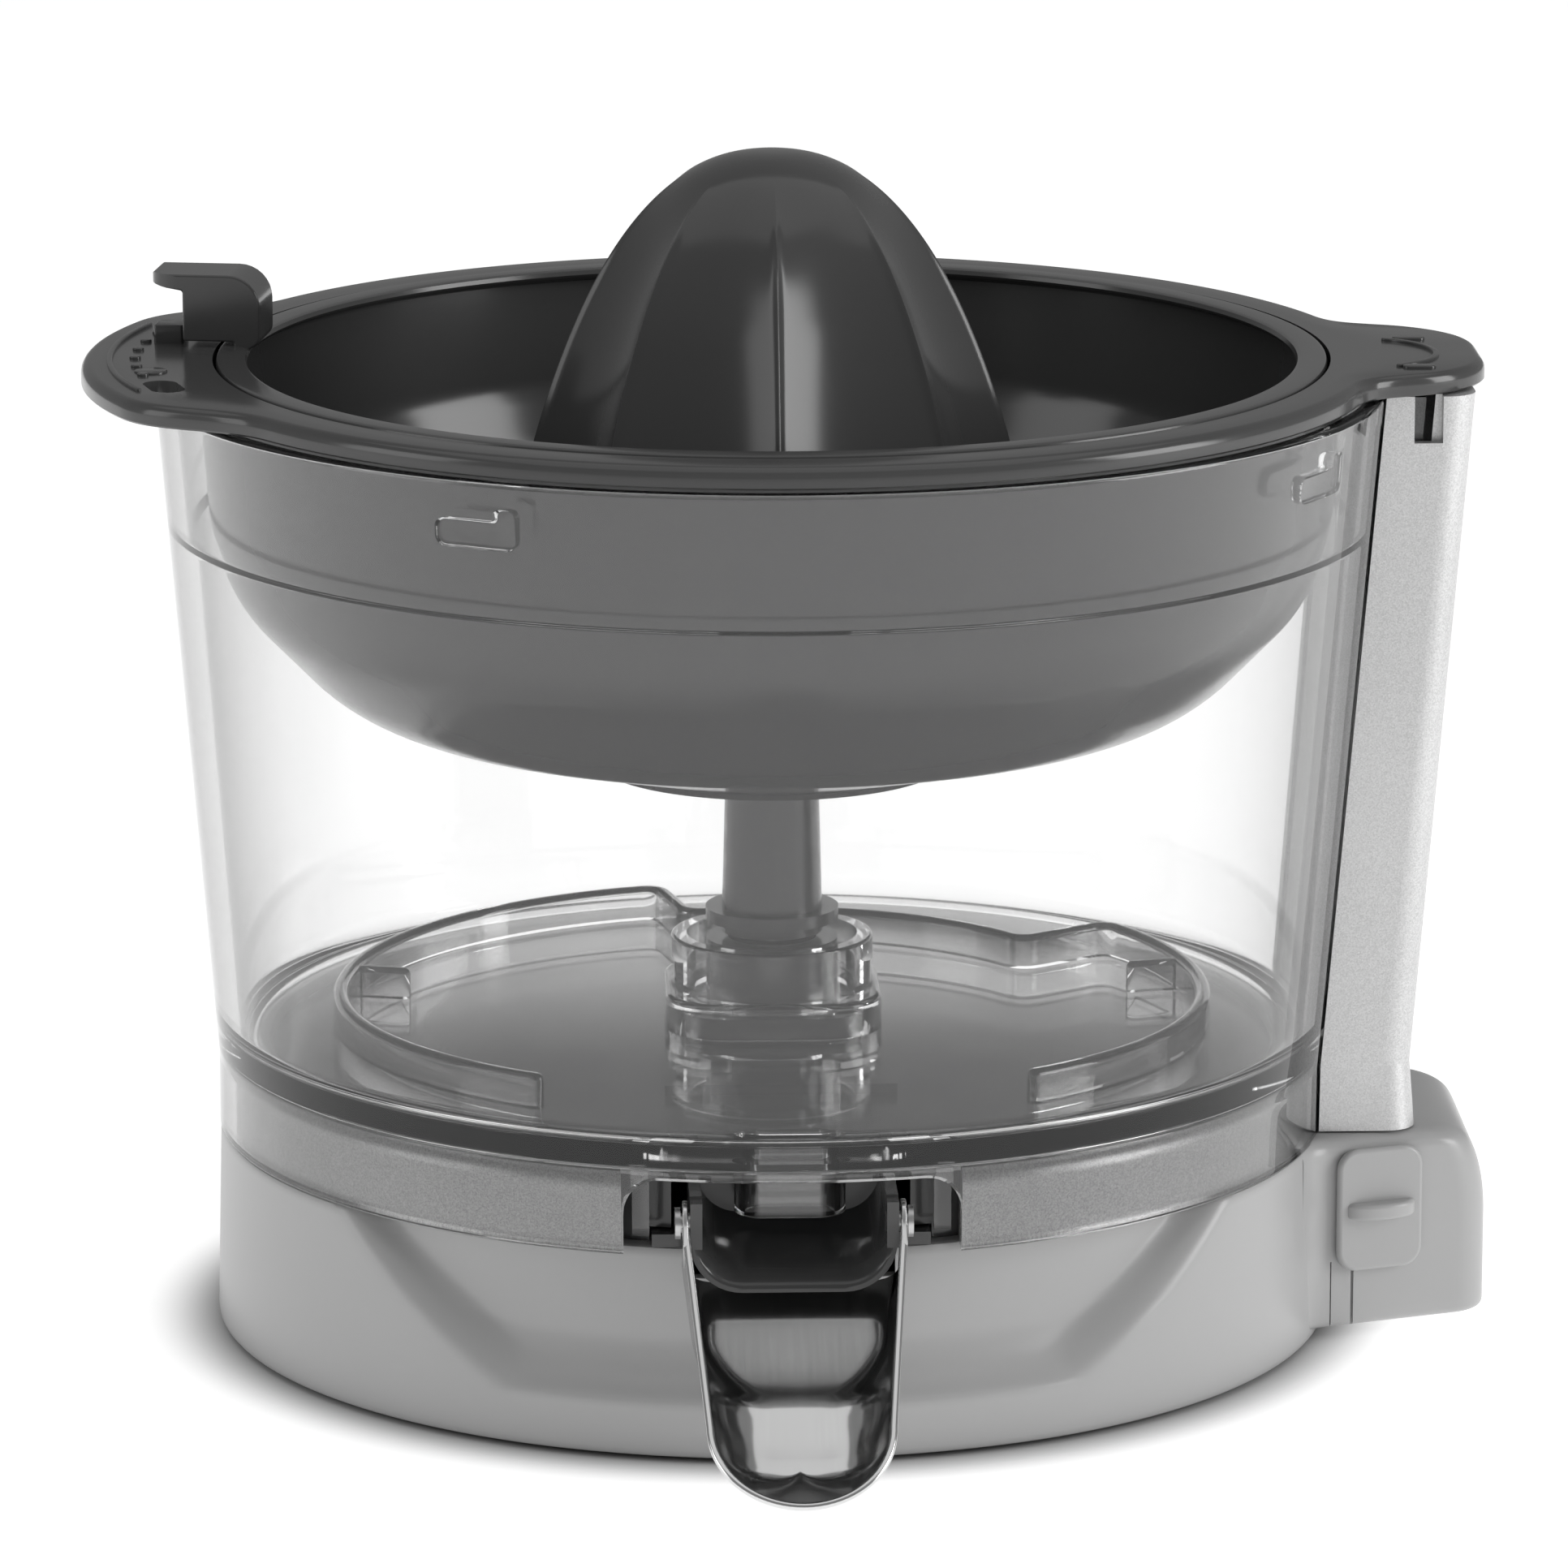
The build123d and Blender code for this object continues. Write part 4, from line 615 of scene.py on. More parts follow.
# %% [markdown]
# ## Strainer bowl and collar
# The bowl is a turned shape, but its collar carries a crescent tab on the left and a tongue on the right.
# The rim of such a plan is easiest as a distance: a smooth union of disc, tongue and crescent is zero on
# the rim, and a bisection along each ray finds that place for all angles at once.

# %% Collar outline
COLLAR_Z = 151.9
COLLAR_TOP = 155.3
COLLAR_R = 95.05
SEAM_R = 87.9
TONGUE_MIDDLE, TONGUE_REACH = 56.0, 38.0
TONGUE_HALF, TONGUE_ROUND = 5.5, 18.0
CRESCENT_MIDDLE, CRESCENT_R = -23.5, 85.0
CRESCENT_HALF, CRESCENT_INNER = 45.0, -40.0


def blend_union(a, b, blend):
    """Smooth union of two distances: the smaller, less h^2 k / 4 where they are within k of each other."""
    near = np.maximum(blend - np.abs(a - b), 0) / blend
    return np.minimum(a, b) - near ** 2 * blend / 4


def collar_distance(x, y):
    """Distance to the collar's plan: disc, rounded tongue to x = 112 and crescent to x = -108.5."""
    plate = np.hypot(x, y) - COLLAR_R
    dx = np.maximum(np.abs(x - TONGUE_MIDDLE) - TONGUE_REACH, 0)
    dy = np.maximum(np.abs(y) - TONGUE_HALF, 0)
    tongue = np.hypot(dx, dy) - TONGUE_ROUND
    arc = np.hypot(x - CRESCENT_MIDDLE, y) - CRESCENT_R
    slab = np.abs(y) - CRESCENT_HALF
    crescent = np.maximum(-blend_union(-arc, -slab, 11.0), x - CRESCENT_INNER)
    return blend_union(blend_union(plate, tongue, 8.0), crescent, 9.0)


def collar_rim(angle):
    """Radius of the collar's rim at each angle, by halving the interval thirty times."""
    low = np.full_like(angle, 90.0)
    high = np.full_like(angle, 118.0)
    for _ in range(30):
        middle = (low + high) / 2
        outside = collar_distance(middle * np.cos(angle), middle * np.sin(angle)) > 0
        high = np.where(outside, middle, high)
        low = np.where(outside, low, middle)
    return (low + high) / 2


# %% Bowl profile
DISH = [(90.2, 0), (88.7, 21), (84.6, 33), (68, 50.6), (29, 60.4), (27.6, 61.8)]
DISH_ROUNDS = [18, 26, 30, 3]
BOWL_WALL = 2.2
TUBE_IN, TUBE_OUT, TUBE_TOP = 9.4, 11.6, 116.1
TUBE_EDGE = 0.3
RIM_ROUND = 1.7
SLOT_ANGLE = radians(195)
SLOT_OUT = 98.1
SLOT_R = 2.7
SLOT_RUN = 2.55


def dish_path(shift):
    """Bowl outline drawn in by a shift, from the top down to the pan, as (radius, height)."""
    corners = [(r - shift, COLLAR_Z - drop + shift) for r, drop in DISH]
    return rounded_path(corners, DISH_ROUNDS, steps=12)


outside = dish_path(0)
inside = dish_path(BOWL_WALL)[::-1]
bowl_low = outside[-1, 1]
tube = [(TUBE_IN, bowl_low), (TUBE_IN, TUBE_TOP - TUBE_EDGE), (TUBE_IN + TUBE_EDGE, TUBE_TOP),
        (TUBE_OUT - TUBE_EDGE, TUBE_TOP), (TUBE_OUT, TUBE_TOP - TUBE_EDGE), (TUBE_OUT, bowl_low + BOWL_WALL)]
rim_edge = [(SEAM_R, COLLAR_TOP), (SEAM_R + 2, COLLAR_TOP)]
turn = np.linspace(0, pi / 2, 6)
rim_round = np.column_stack([np.sin(turn), np.cos(turn)]) * RIM_ROUND
rim_round += (COLLAR_R - RIM_ROUND, COLLAR_TOP - RIM_ROUND)
rim_under = [(COLLAR_R, COLLAR_Z + 0.3), (COLLAR_R - 0.3, COLLAR_Z), (91.2, COLLAR_Z)]
profile = np.vstack([rim_edge, rim_round, rim_under, outside, tube, inside])
spread = np.zeros(len(profile))
spread[len(rim_edge):len(rim_edge) + len(rim_round) + 2] = 1.0
spread[1] = 0.15
spread[len(rim_edge) + len(rim_round) + 2] = 0.0
tabs = np.concatenate([np.arange(-40, 40, 0.4), np.arange(40, 140, 1.25), np.arange(140, 220, 0.4),
                       np.arange(220, 320, 1.25)])
angle = np.radians(tabs)[:, None]
reach = collar_rim(angle) - COLLAR_R
bowl = surface("bowl", turned(profile[:, 0] + spread * reach, profile[:, 1], angle))
turn = np.radians(np.arange(0, 360, 7.5))
oval = np.column_stack([SLOT_R * np.cos(turn), SLOT_RUN * np.sign(np.sin(turn)) + SLOT_R * np.sin(turn)])


def tab_place(out, along, z):
    """Plan of the tab's slot, on its own ray."""
    return on_ray(SLOT_ANGLE, SLOT_OUT + out, along, z)


carve(bowl, prism("tab_slot", oval, 150, 158, tab_place))

# %% [markdown]
# ## Marks on the tabs
# The tabs carry low relief that shows which way to turn: an arc with dots on the crescent, and two bars and
# an arc on the tongue. Each is a plan pulled up by half a millimetre. The stop for the pulp lever is higher.

# %% Marks on the tabs
LEVER_ANGLE = radians(171)
MARK_SUNK = 0.5
MARK_EDGE = 0.2
STOP_HIGH = 2.9


def lever_plan(r, across, z):
    """Plans of the lever and its stop lie on the lever's ray."""
    return on_ray(LEVER_ANGLE, r, across, z)


def upright(x, y, z):
    """Plans stand upright in the frame."""
    return np.stack([x, y, z], axis=-1)


def disc(radius, count=96):
    """Circle as a closed loop."""
    angle = full_turn(count)
    return radius * np.hstack([np.cos(angle), np.sin(angle)])


def stadium(length, width, count=48):
    """Oval plan with straight sides along x."""
    loop = disc(width / 2, count)
    loop[:, 0] += np.where(loop[:, 0] > 0, 1, -1) * (length - width) / 2
    return loop


def bow(radius, start, stop):
    """Arc in plan, with a point every two degrees."""
    angle = np.radians(np.linspace(start, stop, int(abs(stop - start) / 2) + 2))
    return radius * np.column_stack([np.cos(angle), np.sin(angle)])


def ribbon(path, half):
    """Outline of a wall of even thickness along a path, with round ends."""
    turn = np.linspace(0, pi, 7)[1:-1, None]
    ends = []
    for end, before in ((path[-1], path[-2]), (path[0], path[1])):
        run = (end - before) / np.linalg.norm(end - before)
        side = np.array([-run[1], run[0]])
        ends.append(end + half * (np.cos(turn) * side + np.sin(turn) * run))
    return np.vstack([shifted(path, half), ends[0], shifted(path, -half)[::-1], ends[1]])


def raised(outline, place, height=0.45):
    """Low relief on the collar's top face, with its plan moved to a place."""
    low, high = COLLAR_TOP - MARK_SUNK, COLLAR_TOP + height
    return prism("mark", outline + np.array(place), low, high, upright, edge=MARK_EDGE)


marks = [raised(ribbon(bow(80.5, 159, 201), 0.45), (CRESCENT_MIDDLE, 0)),
         raised(disc(2.6, 32), (-97.2, -12.6), 0.3),
         raised(stadium(5.2, 2.4), (101.5, 8.5)),
         raised(stadium(5.2, 2.4), (100.6, -16.5)),
         raised(ribbon(bow(13, -62, 62), 0.5), (91.5, -4.0))]
marks += [raised(disc(0.9, 24), place) for place in bow(76.5, 164, 192)[::3] + (CRESCENT_MIDDLE, 0)]
stop = [(93.6, 0), (93.6, -2.6), (98.3, -2.6), (98.3, 2.6), (93.6, 2.6), (93.6, 0)]
stop = rounded_path(stop, [0.5] * 4)[:-1]
low, high = COLLAR_TOP - MARK_SUNK, COLLAR_TOP + STOP_HIGH
marks.append(prism("mark", stop, low, high, lever_plan, edge=MARK_EDGE))
dress(joined("strainer_bowl_skin", [bowl] + marks), "strainer_bowl", "dark_plastic")

# %% [markdown]
# ## Pulp basket and its lever
# The inner strainer hangs in the bowl by a rounded rim. Its lever is a hook of constant width, so it is a
# side view pulled sideways, with softened edges.

# %% Pulp basket
BASKET_TOP = 155.6
MOUTH_R = 82.5
RIM_R = 87.4
BASKET_GAP = 2.7
BASKET_WALL = 2.0
STEM_IN, STEM_OUT, STEM_TOP = 12.1, 13.9, 114.6
outer = dish_path(BASKET_GAP)
inner = dish_path(BASKET_GAP + BASKET_WALL)[::-1]
outer = outer[outer[:, 1] < BASKET_TOP - 1.6]
pan = outer[-1, 1]
stem = [(STEM_IN, pan), (STEM_IN, STEM_TOP), (STEM_OUT, STEM_TOP), (STEM_OUT, pan + BASKET_WALL)]
bead = [(inner[-1, 0], -2.4), (MOUTH_R + 0.6, -1.6), (MOUTH_R, -0.9), (MOUTH_R + 0.25, -0.25),
        (MOUTH_R + 0.9, 0), (RIM_R - 0.7, 0), (RIM_R - 0.2, -0.2), (RIM_R, -0.7), (RIM_R, -1.6)]
bead = np.array(bead) + (0, BASKET_TOP)
inner = inner[inner[:, 1] < BASKET_TOP - 3.0]
section = np.vstack([outer, stem, inner, bead])
basket = surface("basket_skin", turned(section[:, 0], section[:, 1], full_turn(192)))

LEVER_HALF = 6
hook = rounded_path(
    [(84.8, 154.6), (84.8, 156.3), (93, 156.3), (93, 164.3), (98.4, 165.2), (98.4, 166.9), (80.6, 166.9),
     (80.6, 156.2), (83.2, 154.6)],
    [0.3, 0.5, 0.5, 0.2, 0.6, 5.2, 2.0], steps=8)
plan = rounded_path([(76, 0), (76, -6), (98.4, -6), (98.4, 6), (76, 6), (76, 0)], [0, 4.6, 4.6, 0])[:-1]


def lever_side(r, z, across):
    """The hook's side view stands on the lever's ray, and its width lies across it."""
    return on_ray(LEVER_ANGLE, r, across, z)


lever = prism("lever", hook, -LEVER_HALF, LEVER_HALF, lever_side, edge=0.35)
carve(lever, prism("lever_plan", plan, 150, 170, lever_plan), "INTERSECT")
dress(flatten(joined("pulp_basket_skin", [basket, lever])), "pulp_basket", "dark_plastic")

# %% [markdown]
# ## Reamer cone
# Each flute is an arc through two ridges and a valley between them. In polar form the arc is c cos p -
# sqrt(q^2 - c^2 sin^2 p), where c is how far out its centre lies. Towards the top the arcs turn into the
# round of a dome. The same grid goes on through the hollow, the hub and its hexagon socket.

# %% Reamer cone
CONE_LOW, CONE_HIGH = (corner[2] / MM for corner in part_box("reamer_cone"))
CONE_R = 43.6
CONE_WALL = 5.0
FLUTES = 8
HALF = pi / FLUTES
FADE_FROM, FADE_OVER = 0.72, 0.24
FLUTE_DEPTH, FLUTE_LESS = 2.5, 1.2
BEAD_WIDE, BEAD_HIGH = 0.55, 0.3
HUB_R, HUB_LOW = 10.4, 118.3
HEX_HALF, HEX_TOP = 5.1, 149.1


def ridge(share):
    """Ridge radius: R (1 - s^1.35)^(1 / 2.4)."""
    return CONE_R * np.maximum(1 - share ** 1.35, 0) ** (1 / 2.4)


def flute_radius(share, angle):
    """Arc of a flute at each share of the height and angle, with a fine bead along its ridge."""
    r = ridge(share)
    fade = np.clip((share - FADE_FROM) / FADE_OVER, 0, 1) ** 2
    dish = (FLUTE_DEPTH - FLUTE_LESS * share) * (1 - fade) - r * (1 - cos(HALF)) * fade
    dish = np.where(np.abs(dish) < 1e-3, 1e-3, dish)
    valley = r * cos(HALF) - dish
    centre = (r ** 2 - valley ** 2) / (2 * dish)
    size = np.abs(centre - valley)
    off = np.mod(angle + pi / 2, 2 * HALF) - HALF
    root = np.sqrt(np.maximum(size ** 2 - (centre * np.sin(off)) ** 2, 0))
    arc = centre * np.cos(off) - np.sign(dish) * root
    bead = np.exp(-((HALF - np.abs(off)) * np.maximum(r, 1) / BEAD_WIDE) ** 2)
    return arc + BEAD_HIGH * bead * (1 - fade)


share = 1 - np.linspace(0, 1, 72)[1:] ** 1.6
step = 2 * HALF * (0.5 + 0.5 * np.sin(np.linspace(-pi / 2, pi / 2, 37)[:-1]))
around = (np.arange(FLUTES)[:, None] * 2 * HALF + step).reshape(-1, 1)
skin = flute_radius(share[None, :], around)
tall = CONE_HIGH - CONE_LOW
z = np.broadcast_to(CONE_LOW + tall * share, skin.shape)
pole = np.zeros_like(around)
cavity_share = np.linspace(0, 0.7, 15)
cavity_r = ridge(cavity_share) * cos(HALF) - CONE_WALL
cavity_z = CONE_LOW + tall * cavity_share
hub_top = cavity_z[-1]
hexagon = HEX_HALF / np.cos(np.mod(around, pi / 3) - pi / 6)
ones = np.ones_like(around)
radius = np.hstack([pole, skin, ones * cavity_r, ones * HUB_R, ones * HUB_R, hexagon, hexagon, pole])
height = np.hstack([ones * CONE_HIGH, z, ones * cavity_z, ones * hub_top, ones * HUB_LOW, ones * HUB_LOW,
                    ones * HEX_TOP, ones * HEX_TOP])
cone = surface("reamer_skin", turned(radius, height, around), wrap_columns=False, sharp=60)
dress(cone, "reamer_cone", "dark_plastic")

# %% [markdown]
# ## Spout
# The drip spout is a thin pressed scoop. One half profile, from the middle of the floor up over the rim
# and back down inside, is carried along one side, round the nose and back along the other side.

# %% Spout trough
PIVOT = np.array([0, -90.6, 38.9])
SPOUT_TILT = radians(40.5)
SPOUT_WALL = 0.8
SPOUT_START, SPOUT_END = 2.4, 38.0
FOOT_HALF, NOSE_HALF = 16.85, 14.0
FOOT_LOW, NOSE_LOW = -13.4, -9.6
FOOT_BEND, NOSE_BEND = 5.0, 11.5
RIM_UP, RIM_ROLL = 2.6, 0.62
HUMP_AT, HUMP_WIDE = 0.70, 0.10
SPOON_LEAN = 0.78


def spout_profile(half, low, bend):
    """Half profile in (out, up): outer floor, outer wall, rolled rim, inner wall and inner floor."""
    top, wall, floor = RIM_UP - 1.2, half - SPOUT_WALL, low + SPOUT_WALL
    outer = rounded_path([(0, low), (half, low), (half, top)], [bend], steps=14)
    roll = np.linspace(-pi / 6, 7 * pi / 6, 11)
    rim = np.column_stack([np.cos(roll), np.sin(roll)]) * RIM_ROLL
    rim += (half - 0.4, RIM_UP - RIM_ROLL)
    inner = rounded_path([(wall, top), (wall, floor), (0, floor)], [bend - SPOUT_WALL], steps=14)
    return np.vstack([outer, rim, inner])


def spout_rows():
    """Profiles along one side, round the nose and back along the other, with a pressed hump.

    The floor's corners grow rounder by a smooth step, 3 n^2 - 2 n^3. Round the nose the wall leans in like a
    spoon's: out is scaled by 1 - 0.78 sin^2 t times the depth share.
    """
    side = []
    for s in np.linspace(0, 1, 22):
        hump = np.exp(-((s - HUMP_AT) / HUMP_WIDE) ** 2)
        narrow = np.clip((s - 0.34) / 0.40, 0, 1)
        bend = FOOT_BEND + (NOSE_BEND - FOOT_BEND) * narrow * narrow * (3 - 2 * narrow)
        half = FOOT_HALF + (NOSE_HALF - FOOT_HALF) * s
        out, up = spout_profile(half, FOOT_LOW + (NOSE_LOW - FOOT_LOW) * s + hump, bend).T
        along = SPOUT_START + (SPOUT_END - SPOUT_START) * s
        side.append(np.column_stack([out, np.full_like(out, along), up]))
    out, up = spout_profile(NOSE_HALF, NOSE_LOW, NOSE_BEND).T
    deep = np.clip((1.4 - up) / 11.0, 0, 1)
    nose = []
    for t in np.linspace(0, pi, 41)[1:-1]:
        drawn = out * (1 - SPOON_LEAN * sin(t) ** 2 * deep)
        nose.append(np.column_stack([drawn * cos(t), SPOUT_END + drawn * sin(t), up]))
    other = [row * (-1, 1, 1) for row in side[::-1]]
    return np.stack(side + nose + other)


def spout_place(grid):
    """From the spout's own run to the frame: half a turn, the tilt, and the pivot."""
    x, y, z = -grid[..., 0], -grid[..., 1], grid[..., 2]
    c, s = cos(SPOUT_TILT), sin(SPOUT_TILT)
    return np.stack([x, y * c - z * s, y * s + z * c], axis=-1) + PIVOT


trough = surface("trough", spout_place(spout_rows()), wrap_rows=False, wrap_columns=False, caps=True)
EAR_R = 3.4
turn = np.linspace(pi / 2, 3 * pi / 2, 17)
ear = EAR_R * np.column_stack([np.cos(turn), np.sin(turn)])
ear = np.vstack([ear, [(5.8, -EAR_R), (5.8, RIM_UP), (1.5, RIM_UP)]])


def ear_place(side):
    """Upright plate beside the chute, on one side."""
    return lambda along, up, across: spout_place(np.stack([side * across, along, up], axis=-1))


ears = [prism("ear", ear, FOOT_HALF - SPOUT_WALL, FOOT_HALF, ear_place(side), edge=0.2) for side in (-1, 1)]
dress(joined("spout_skin", [trough] + ears), "spout_trough", "polished_steel")

# %% [markdown]
# ## Clear container
# A refracting part has to be one closed shell, or light gets lost between overlapping walls. The wall,
# lip, floor and skirt are one turned section. Dome, chimney, dam, outlet and bayonet tracks are joined to
# it with Booleans, as they are one moulding, and the openings are cut last. Each side of the section is
# held by a point close to its ends, so that the rounds don't bend the view through the flat walls.

# %% Container section
LIP_R, LIP_Z = 97.1, 151.5
SKIRT_R, SKIRT_TOP = 88.4, 43.8
FLOOR_TOP, FLOOR_LOW = 48.8, 45.8


def held(path, hold=0.4):
    """Adds a point near both ends of each long side of a path."""
    start, end = path[:-1], path[1:]
    length = np.linalg.norm(end - start, axis=1)
    lean = (end - start) * (hold / np.maximum(length, 1e-9))[:, None]
    points = np.stack([start, start + lean, end - lean], axis=1)
    keep = np.ones(points.shape[:2], bool)
    keep[:, 1:] = (length > 4 * hold)[:, None]
    return np.vstack([points[keep], path[-1:]])


def vessel_out(z):
    """Outer radius of the wall at a height, on a straight line from the skirt to the lip."""
    return SKIRT_R + (LIP_R - SKIRT_R) * (z - SKIRT_TOP) / (LIP_Z - SKIRT_TOP)


section = held(rounded_path(
    [(10, FLOOR_TOP), (85.0, FLOOR_TOP), (90.9, 130), (92.36, 130), (LIP_R - 3, LIP_Z), (LIP_R, LIP_Z),
     (SKIRT_R, SKIRT_TOP), (SKIRT_R, SHELF_Z), (SKIRT_R - 2.5, SHELF_Z), (SKIRT_R - 2.5, FLOOR_LOW),
     (10, FLOOR_LOW)],
    [3.2, 0.7, 0.7, 0.7, 0.7, 8.0, 0.5, 0.5, 0.8], steps=6))
vessel = surface("container_skin", turned(section[:, 0], section[:, 1], full_turn(240)))
carve(vessel, prism("dome", soft_rectangle(17.2, 17.2, 9.7), 46.3, 54.4, upright, edge=0.9), "UNION")
carve(vessel, prism("chimney", disc(16.1), 50.0, 62.4, upright, edge=0.5), "UNION")

# %% Dam
DAM_R, STEP_R = 68.8, 50.8
DAM_LOW, DAM_TOP = 47.3, 54.3
DAM_BEND = 3.0


def spot(radius, angle):
    """One point of a plan, as a row."""
    return radius * np.array([[cos(radians(angle)), sin(radians(angle))]])


runs = [(bow(DAM_R, 236.5, 110), 0.0), (spot(DAM_R, 104), DAM_BEND), (spot(STEP_R, 104), DAM_BEND),
        (bow(STEP_R, 97, 41), 0.0), (spot(STEP_R, 34), DAM_BEND), (spot(DAM_R, 34), DAM_BEND),
        (bow(DAM_R, 28, -56.5), 0.0)]
corners = np.vstack([run for run, _ in runs])
rounds = np.concatenate([np.full(len(run), bend) for run, bend in runs])
wall = rounded_path(corners, rounds[1:-1], steps=6)
carve(vessel, prism("dam", ribbon(wall, 1.3), DAM_LOW, DAM_TOP, upright, edge=1.15, steps=5), "UNION")
for angle in (168, 12):
    rib = ribbon(np.vstack([spot(60.5, angle), spot(DAM_R, angle)]), 1.2)
    carve(vessel, prism("dam_rib", rib, DAM_LOW, DAM_TOP - 0.5, upright, edge=1.0, steps=5), "UNION")

# %% Outlet, clips and column ribs
OUTLET_Y = -74.2
CLIP_X, CLIP_HALF = 22.9, 1.3
RIB_Y, RIB_HALF = 17.25, 1.5


def outlet_place(x, y, z):
    """The outlet's plan lies at the front of the floor."""
    return np.stack([x, y + OUTLET_Y, z], axis=-1)


carve(vessel, prism("outlet", stadium(17, 9), 36.0, 48.0, outlet_place, edge=0.4), "UNION")
for side in (-1, 1):
    middle = side * CLIP_X
    clip = block("clip", (middle - CLIP_HALF, -81.73, 34.8), (middle + CLIP_HALF, -79.73, 47.0))
    carve(vessel, clip, "UNION")
    left, right = side * RIB_Y - RIB_HALF, side * RIB_Y + RIB_HALF
    loops = []
    for z in (44.5, 151.0):
        near, far = vessel_out(z) - 2.9, vessel_out(z) + 4.5
        loops.append([(near, left, z), (far, left, z), (far, right, z), (near, right, z)])
    carve(vessel, surface("column_rib", np.array(loops), wrap_rows=False, caps=True), "UNION")

# %% Bayonet tracks
TRACK_Z = 140.9
catch = rounded_path([(0, 0), (6.8, 0), (6.8, 6.4), (3.2, 6.4), (3.2, 4.4), (-6.8, 4.4), (-6.8, 0), (0, 0)],
                     [1.6, 1.4, 1.2, 0.6, 1.6, 1.6], steps=5)[:-1]


def track_place(angle):
    """The track's face stands across a ray, above its height and at a distance out."""
    return lambda along, up, out: on_ray(radians(angle), out, along, TRACK_Z + up)


for angle in (-120, -30, 60, 150):
    carve(vessel, prism("track", catch, 91.3, 94.6, track_place(angle), edge=0.7), "UNION")

# %% Openings of the container


def gate_place(x, z, y):
    """The arch is drawn as a front view."""
    return np.stack([x, y, z], axis=-1)


gate = rounded_path([(0, 28), (25.6, 28), (25.6, 44.3), (-25.6, 44.3), (-25.6, 28), (0, 28)],
                    [0, 5.5, 5.5, 0], steps=8)[:-1]
carve(vessel, prism("cavity", soft_rectangle(15.2, 15.2, 7.7), 40.0, 52.4, upright))
carve(vessel, prism("bore", disc(13.6), 48.0, 70.0, upright))
carve(vessel, block("window", (-30, -4.5, 54.9), (30, 4.5, 58.6)))
carve(vessel, prism("outlet_hole", stadium(13.8, 5.8), 30.0, 56.0, outlet_place))
carve(vessel, prism("arch", gate, -100.0, -81.9, gate_place))
dress(flatten(vessel), "juice_vessel", "clear_plastic")

# %% [markdown]
# ## Column and the parts below it
# These shapes are already right in CAD. A merged copy with fresh, area weighted normals shades them
# cleanly.

# %% Column, ring, deck and sleeve
dress(smooth_copy("handle_column", "column_skin"), "handle_column", "silver_paint")
dress(smooth_copy("base_trim_ring", "shoulder_ring"), "base_trim_ring", "silver_paint")
dress(smooth_copy("base_top_cover", "deck_skin"), "base_top_cover", "dark_plastic")
dress(smooth_copy("drive_sleeve", "sleeve_skin"), "drive_sleeve", "dark_plastic")

# %% [markdown]
# ## Outlet chute
# The chute is a sloping U-shaped channel with a back wall and two wings that lie on the shelf. It is a
# solid block first, then the channel is cut out. A second cut that widens towards the lip leaves a thin
# edge for the juice to drip from.

# %% Outlet chute
CHUTE_HALF = 15.7
CHUTE_LOW = 27.7
CHUTE_LIP = -90
CHUTE_BEND = 8
CHUTE_SLOPE = radians(12)
CHUTE_WALL = 1.8


def channel(inset, y, top):
    """U-shaped loop across the chute, drawn in by an inset, at one place along its slope."""
    half = CHUTE_HALF - inset
    low = CHUTE_LOW + inset + (y - CHUTE_LIP) * tan(CHUTE_SLOPE)
    loop = [(-half, top), (-half, low), (half, low), (half, top)]
    loop = rounded_path(loop, [CHUTE_BEND - inset] * 2, steps=10)
    return np.column_stack([loop[:, 0], np.full(len(loop), y), loop[:, 1]])


def run_of(name, loops):
    """Closed block through a row of loops."""
    return surface(name, np.stack(loops), wrap_rows=False, caps=True)


def pin_place(y, z, x):
    """The pin holes are drawn as a side view."""
    return np.stack([x, y + PIVOT[1], z + PIVOT[2]], axis=-1)


chute = run_of("chute_skin", [channel(0, y, 42.9) for y in (CHUTE_LIP, -66)])
carve(chute, block("wings", (-21.2, -80.6, SHELF_Z), (21.2, -66.2, SHELF_Z + 2)), "UNION")
for side in (-1, 1):
    cheek = sorted([side * (CHUTE_HALF - 2), side * CHUTE_HALF])
    carve(chute, block("cheek", (cheek[0], -93.4, 35.5), (cheek[1], -89.0, 42.6)), "UNION")
carve(chute, run_of("inside", [channel(CHUTE_WALL, y, 60) for y in (-96, -67.8)]))
flare = []
for t in np.linspace(0, 1, 8):
    thinner = 1.4 * (1 - np.sqrt(1 - t ** 2))
    flare.append(channel(CHUTE_WALL - 0.01 - thinner, -86 - 4.2 * t, 37.2))
carve(chute, run_of("flare", flare))
carve(chute, prism("pin_holes", disc(1.55, 32), -20, 20, pin_place))
dress(flatten(chute), "outlet_chute", "dark_plastic")

# %% [markdown]
# ## The solids that stay
# Screws, gears, covers and bushes are right as CAD solids. Each gets the finish of its slot.

# %% Finishes for the solids that stay
KEPT = {
    "black_plastic": ["bottom_cover", "gearbox_cover", "power_switch", "cord_gland"],
    "foot_rubber": ["anti_slip_ring", "spindle_seal"],
    "screw_steel": ["base_screws", "motor_can", "motor_screws", "motor_shaft", "gear_plate",
                    "gearbox_screws", "idler_pin", "output_shaft", "spout_pins"],
    "gear_brass": ["motor_pinion", "lower_bush", "upper_bush"],
    "gear_nylon": ["idler_gear", "output_gear", "thrust_washer"],
}
for finish, names in KEPT.items():
    for name in names:
        for slot in nodes[name].material_slots:
            slot.material = finishes[finish]
print("solids kept", sum(len(names) for names in KEPT.values()))
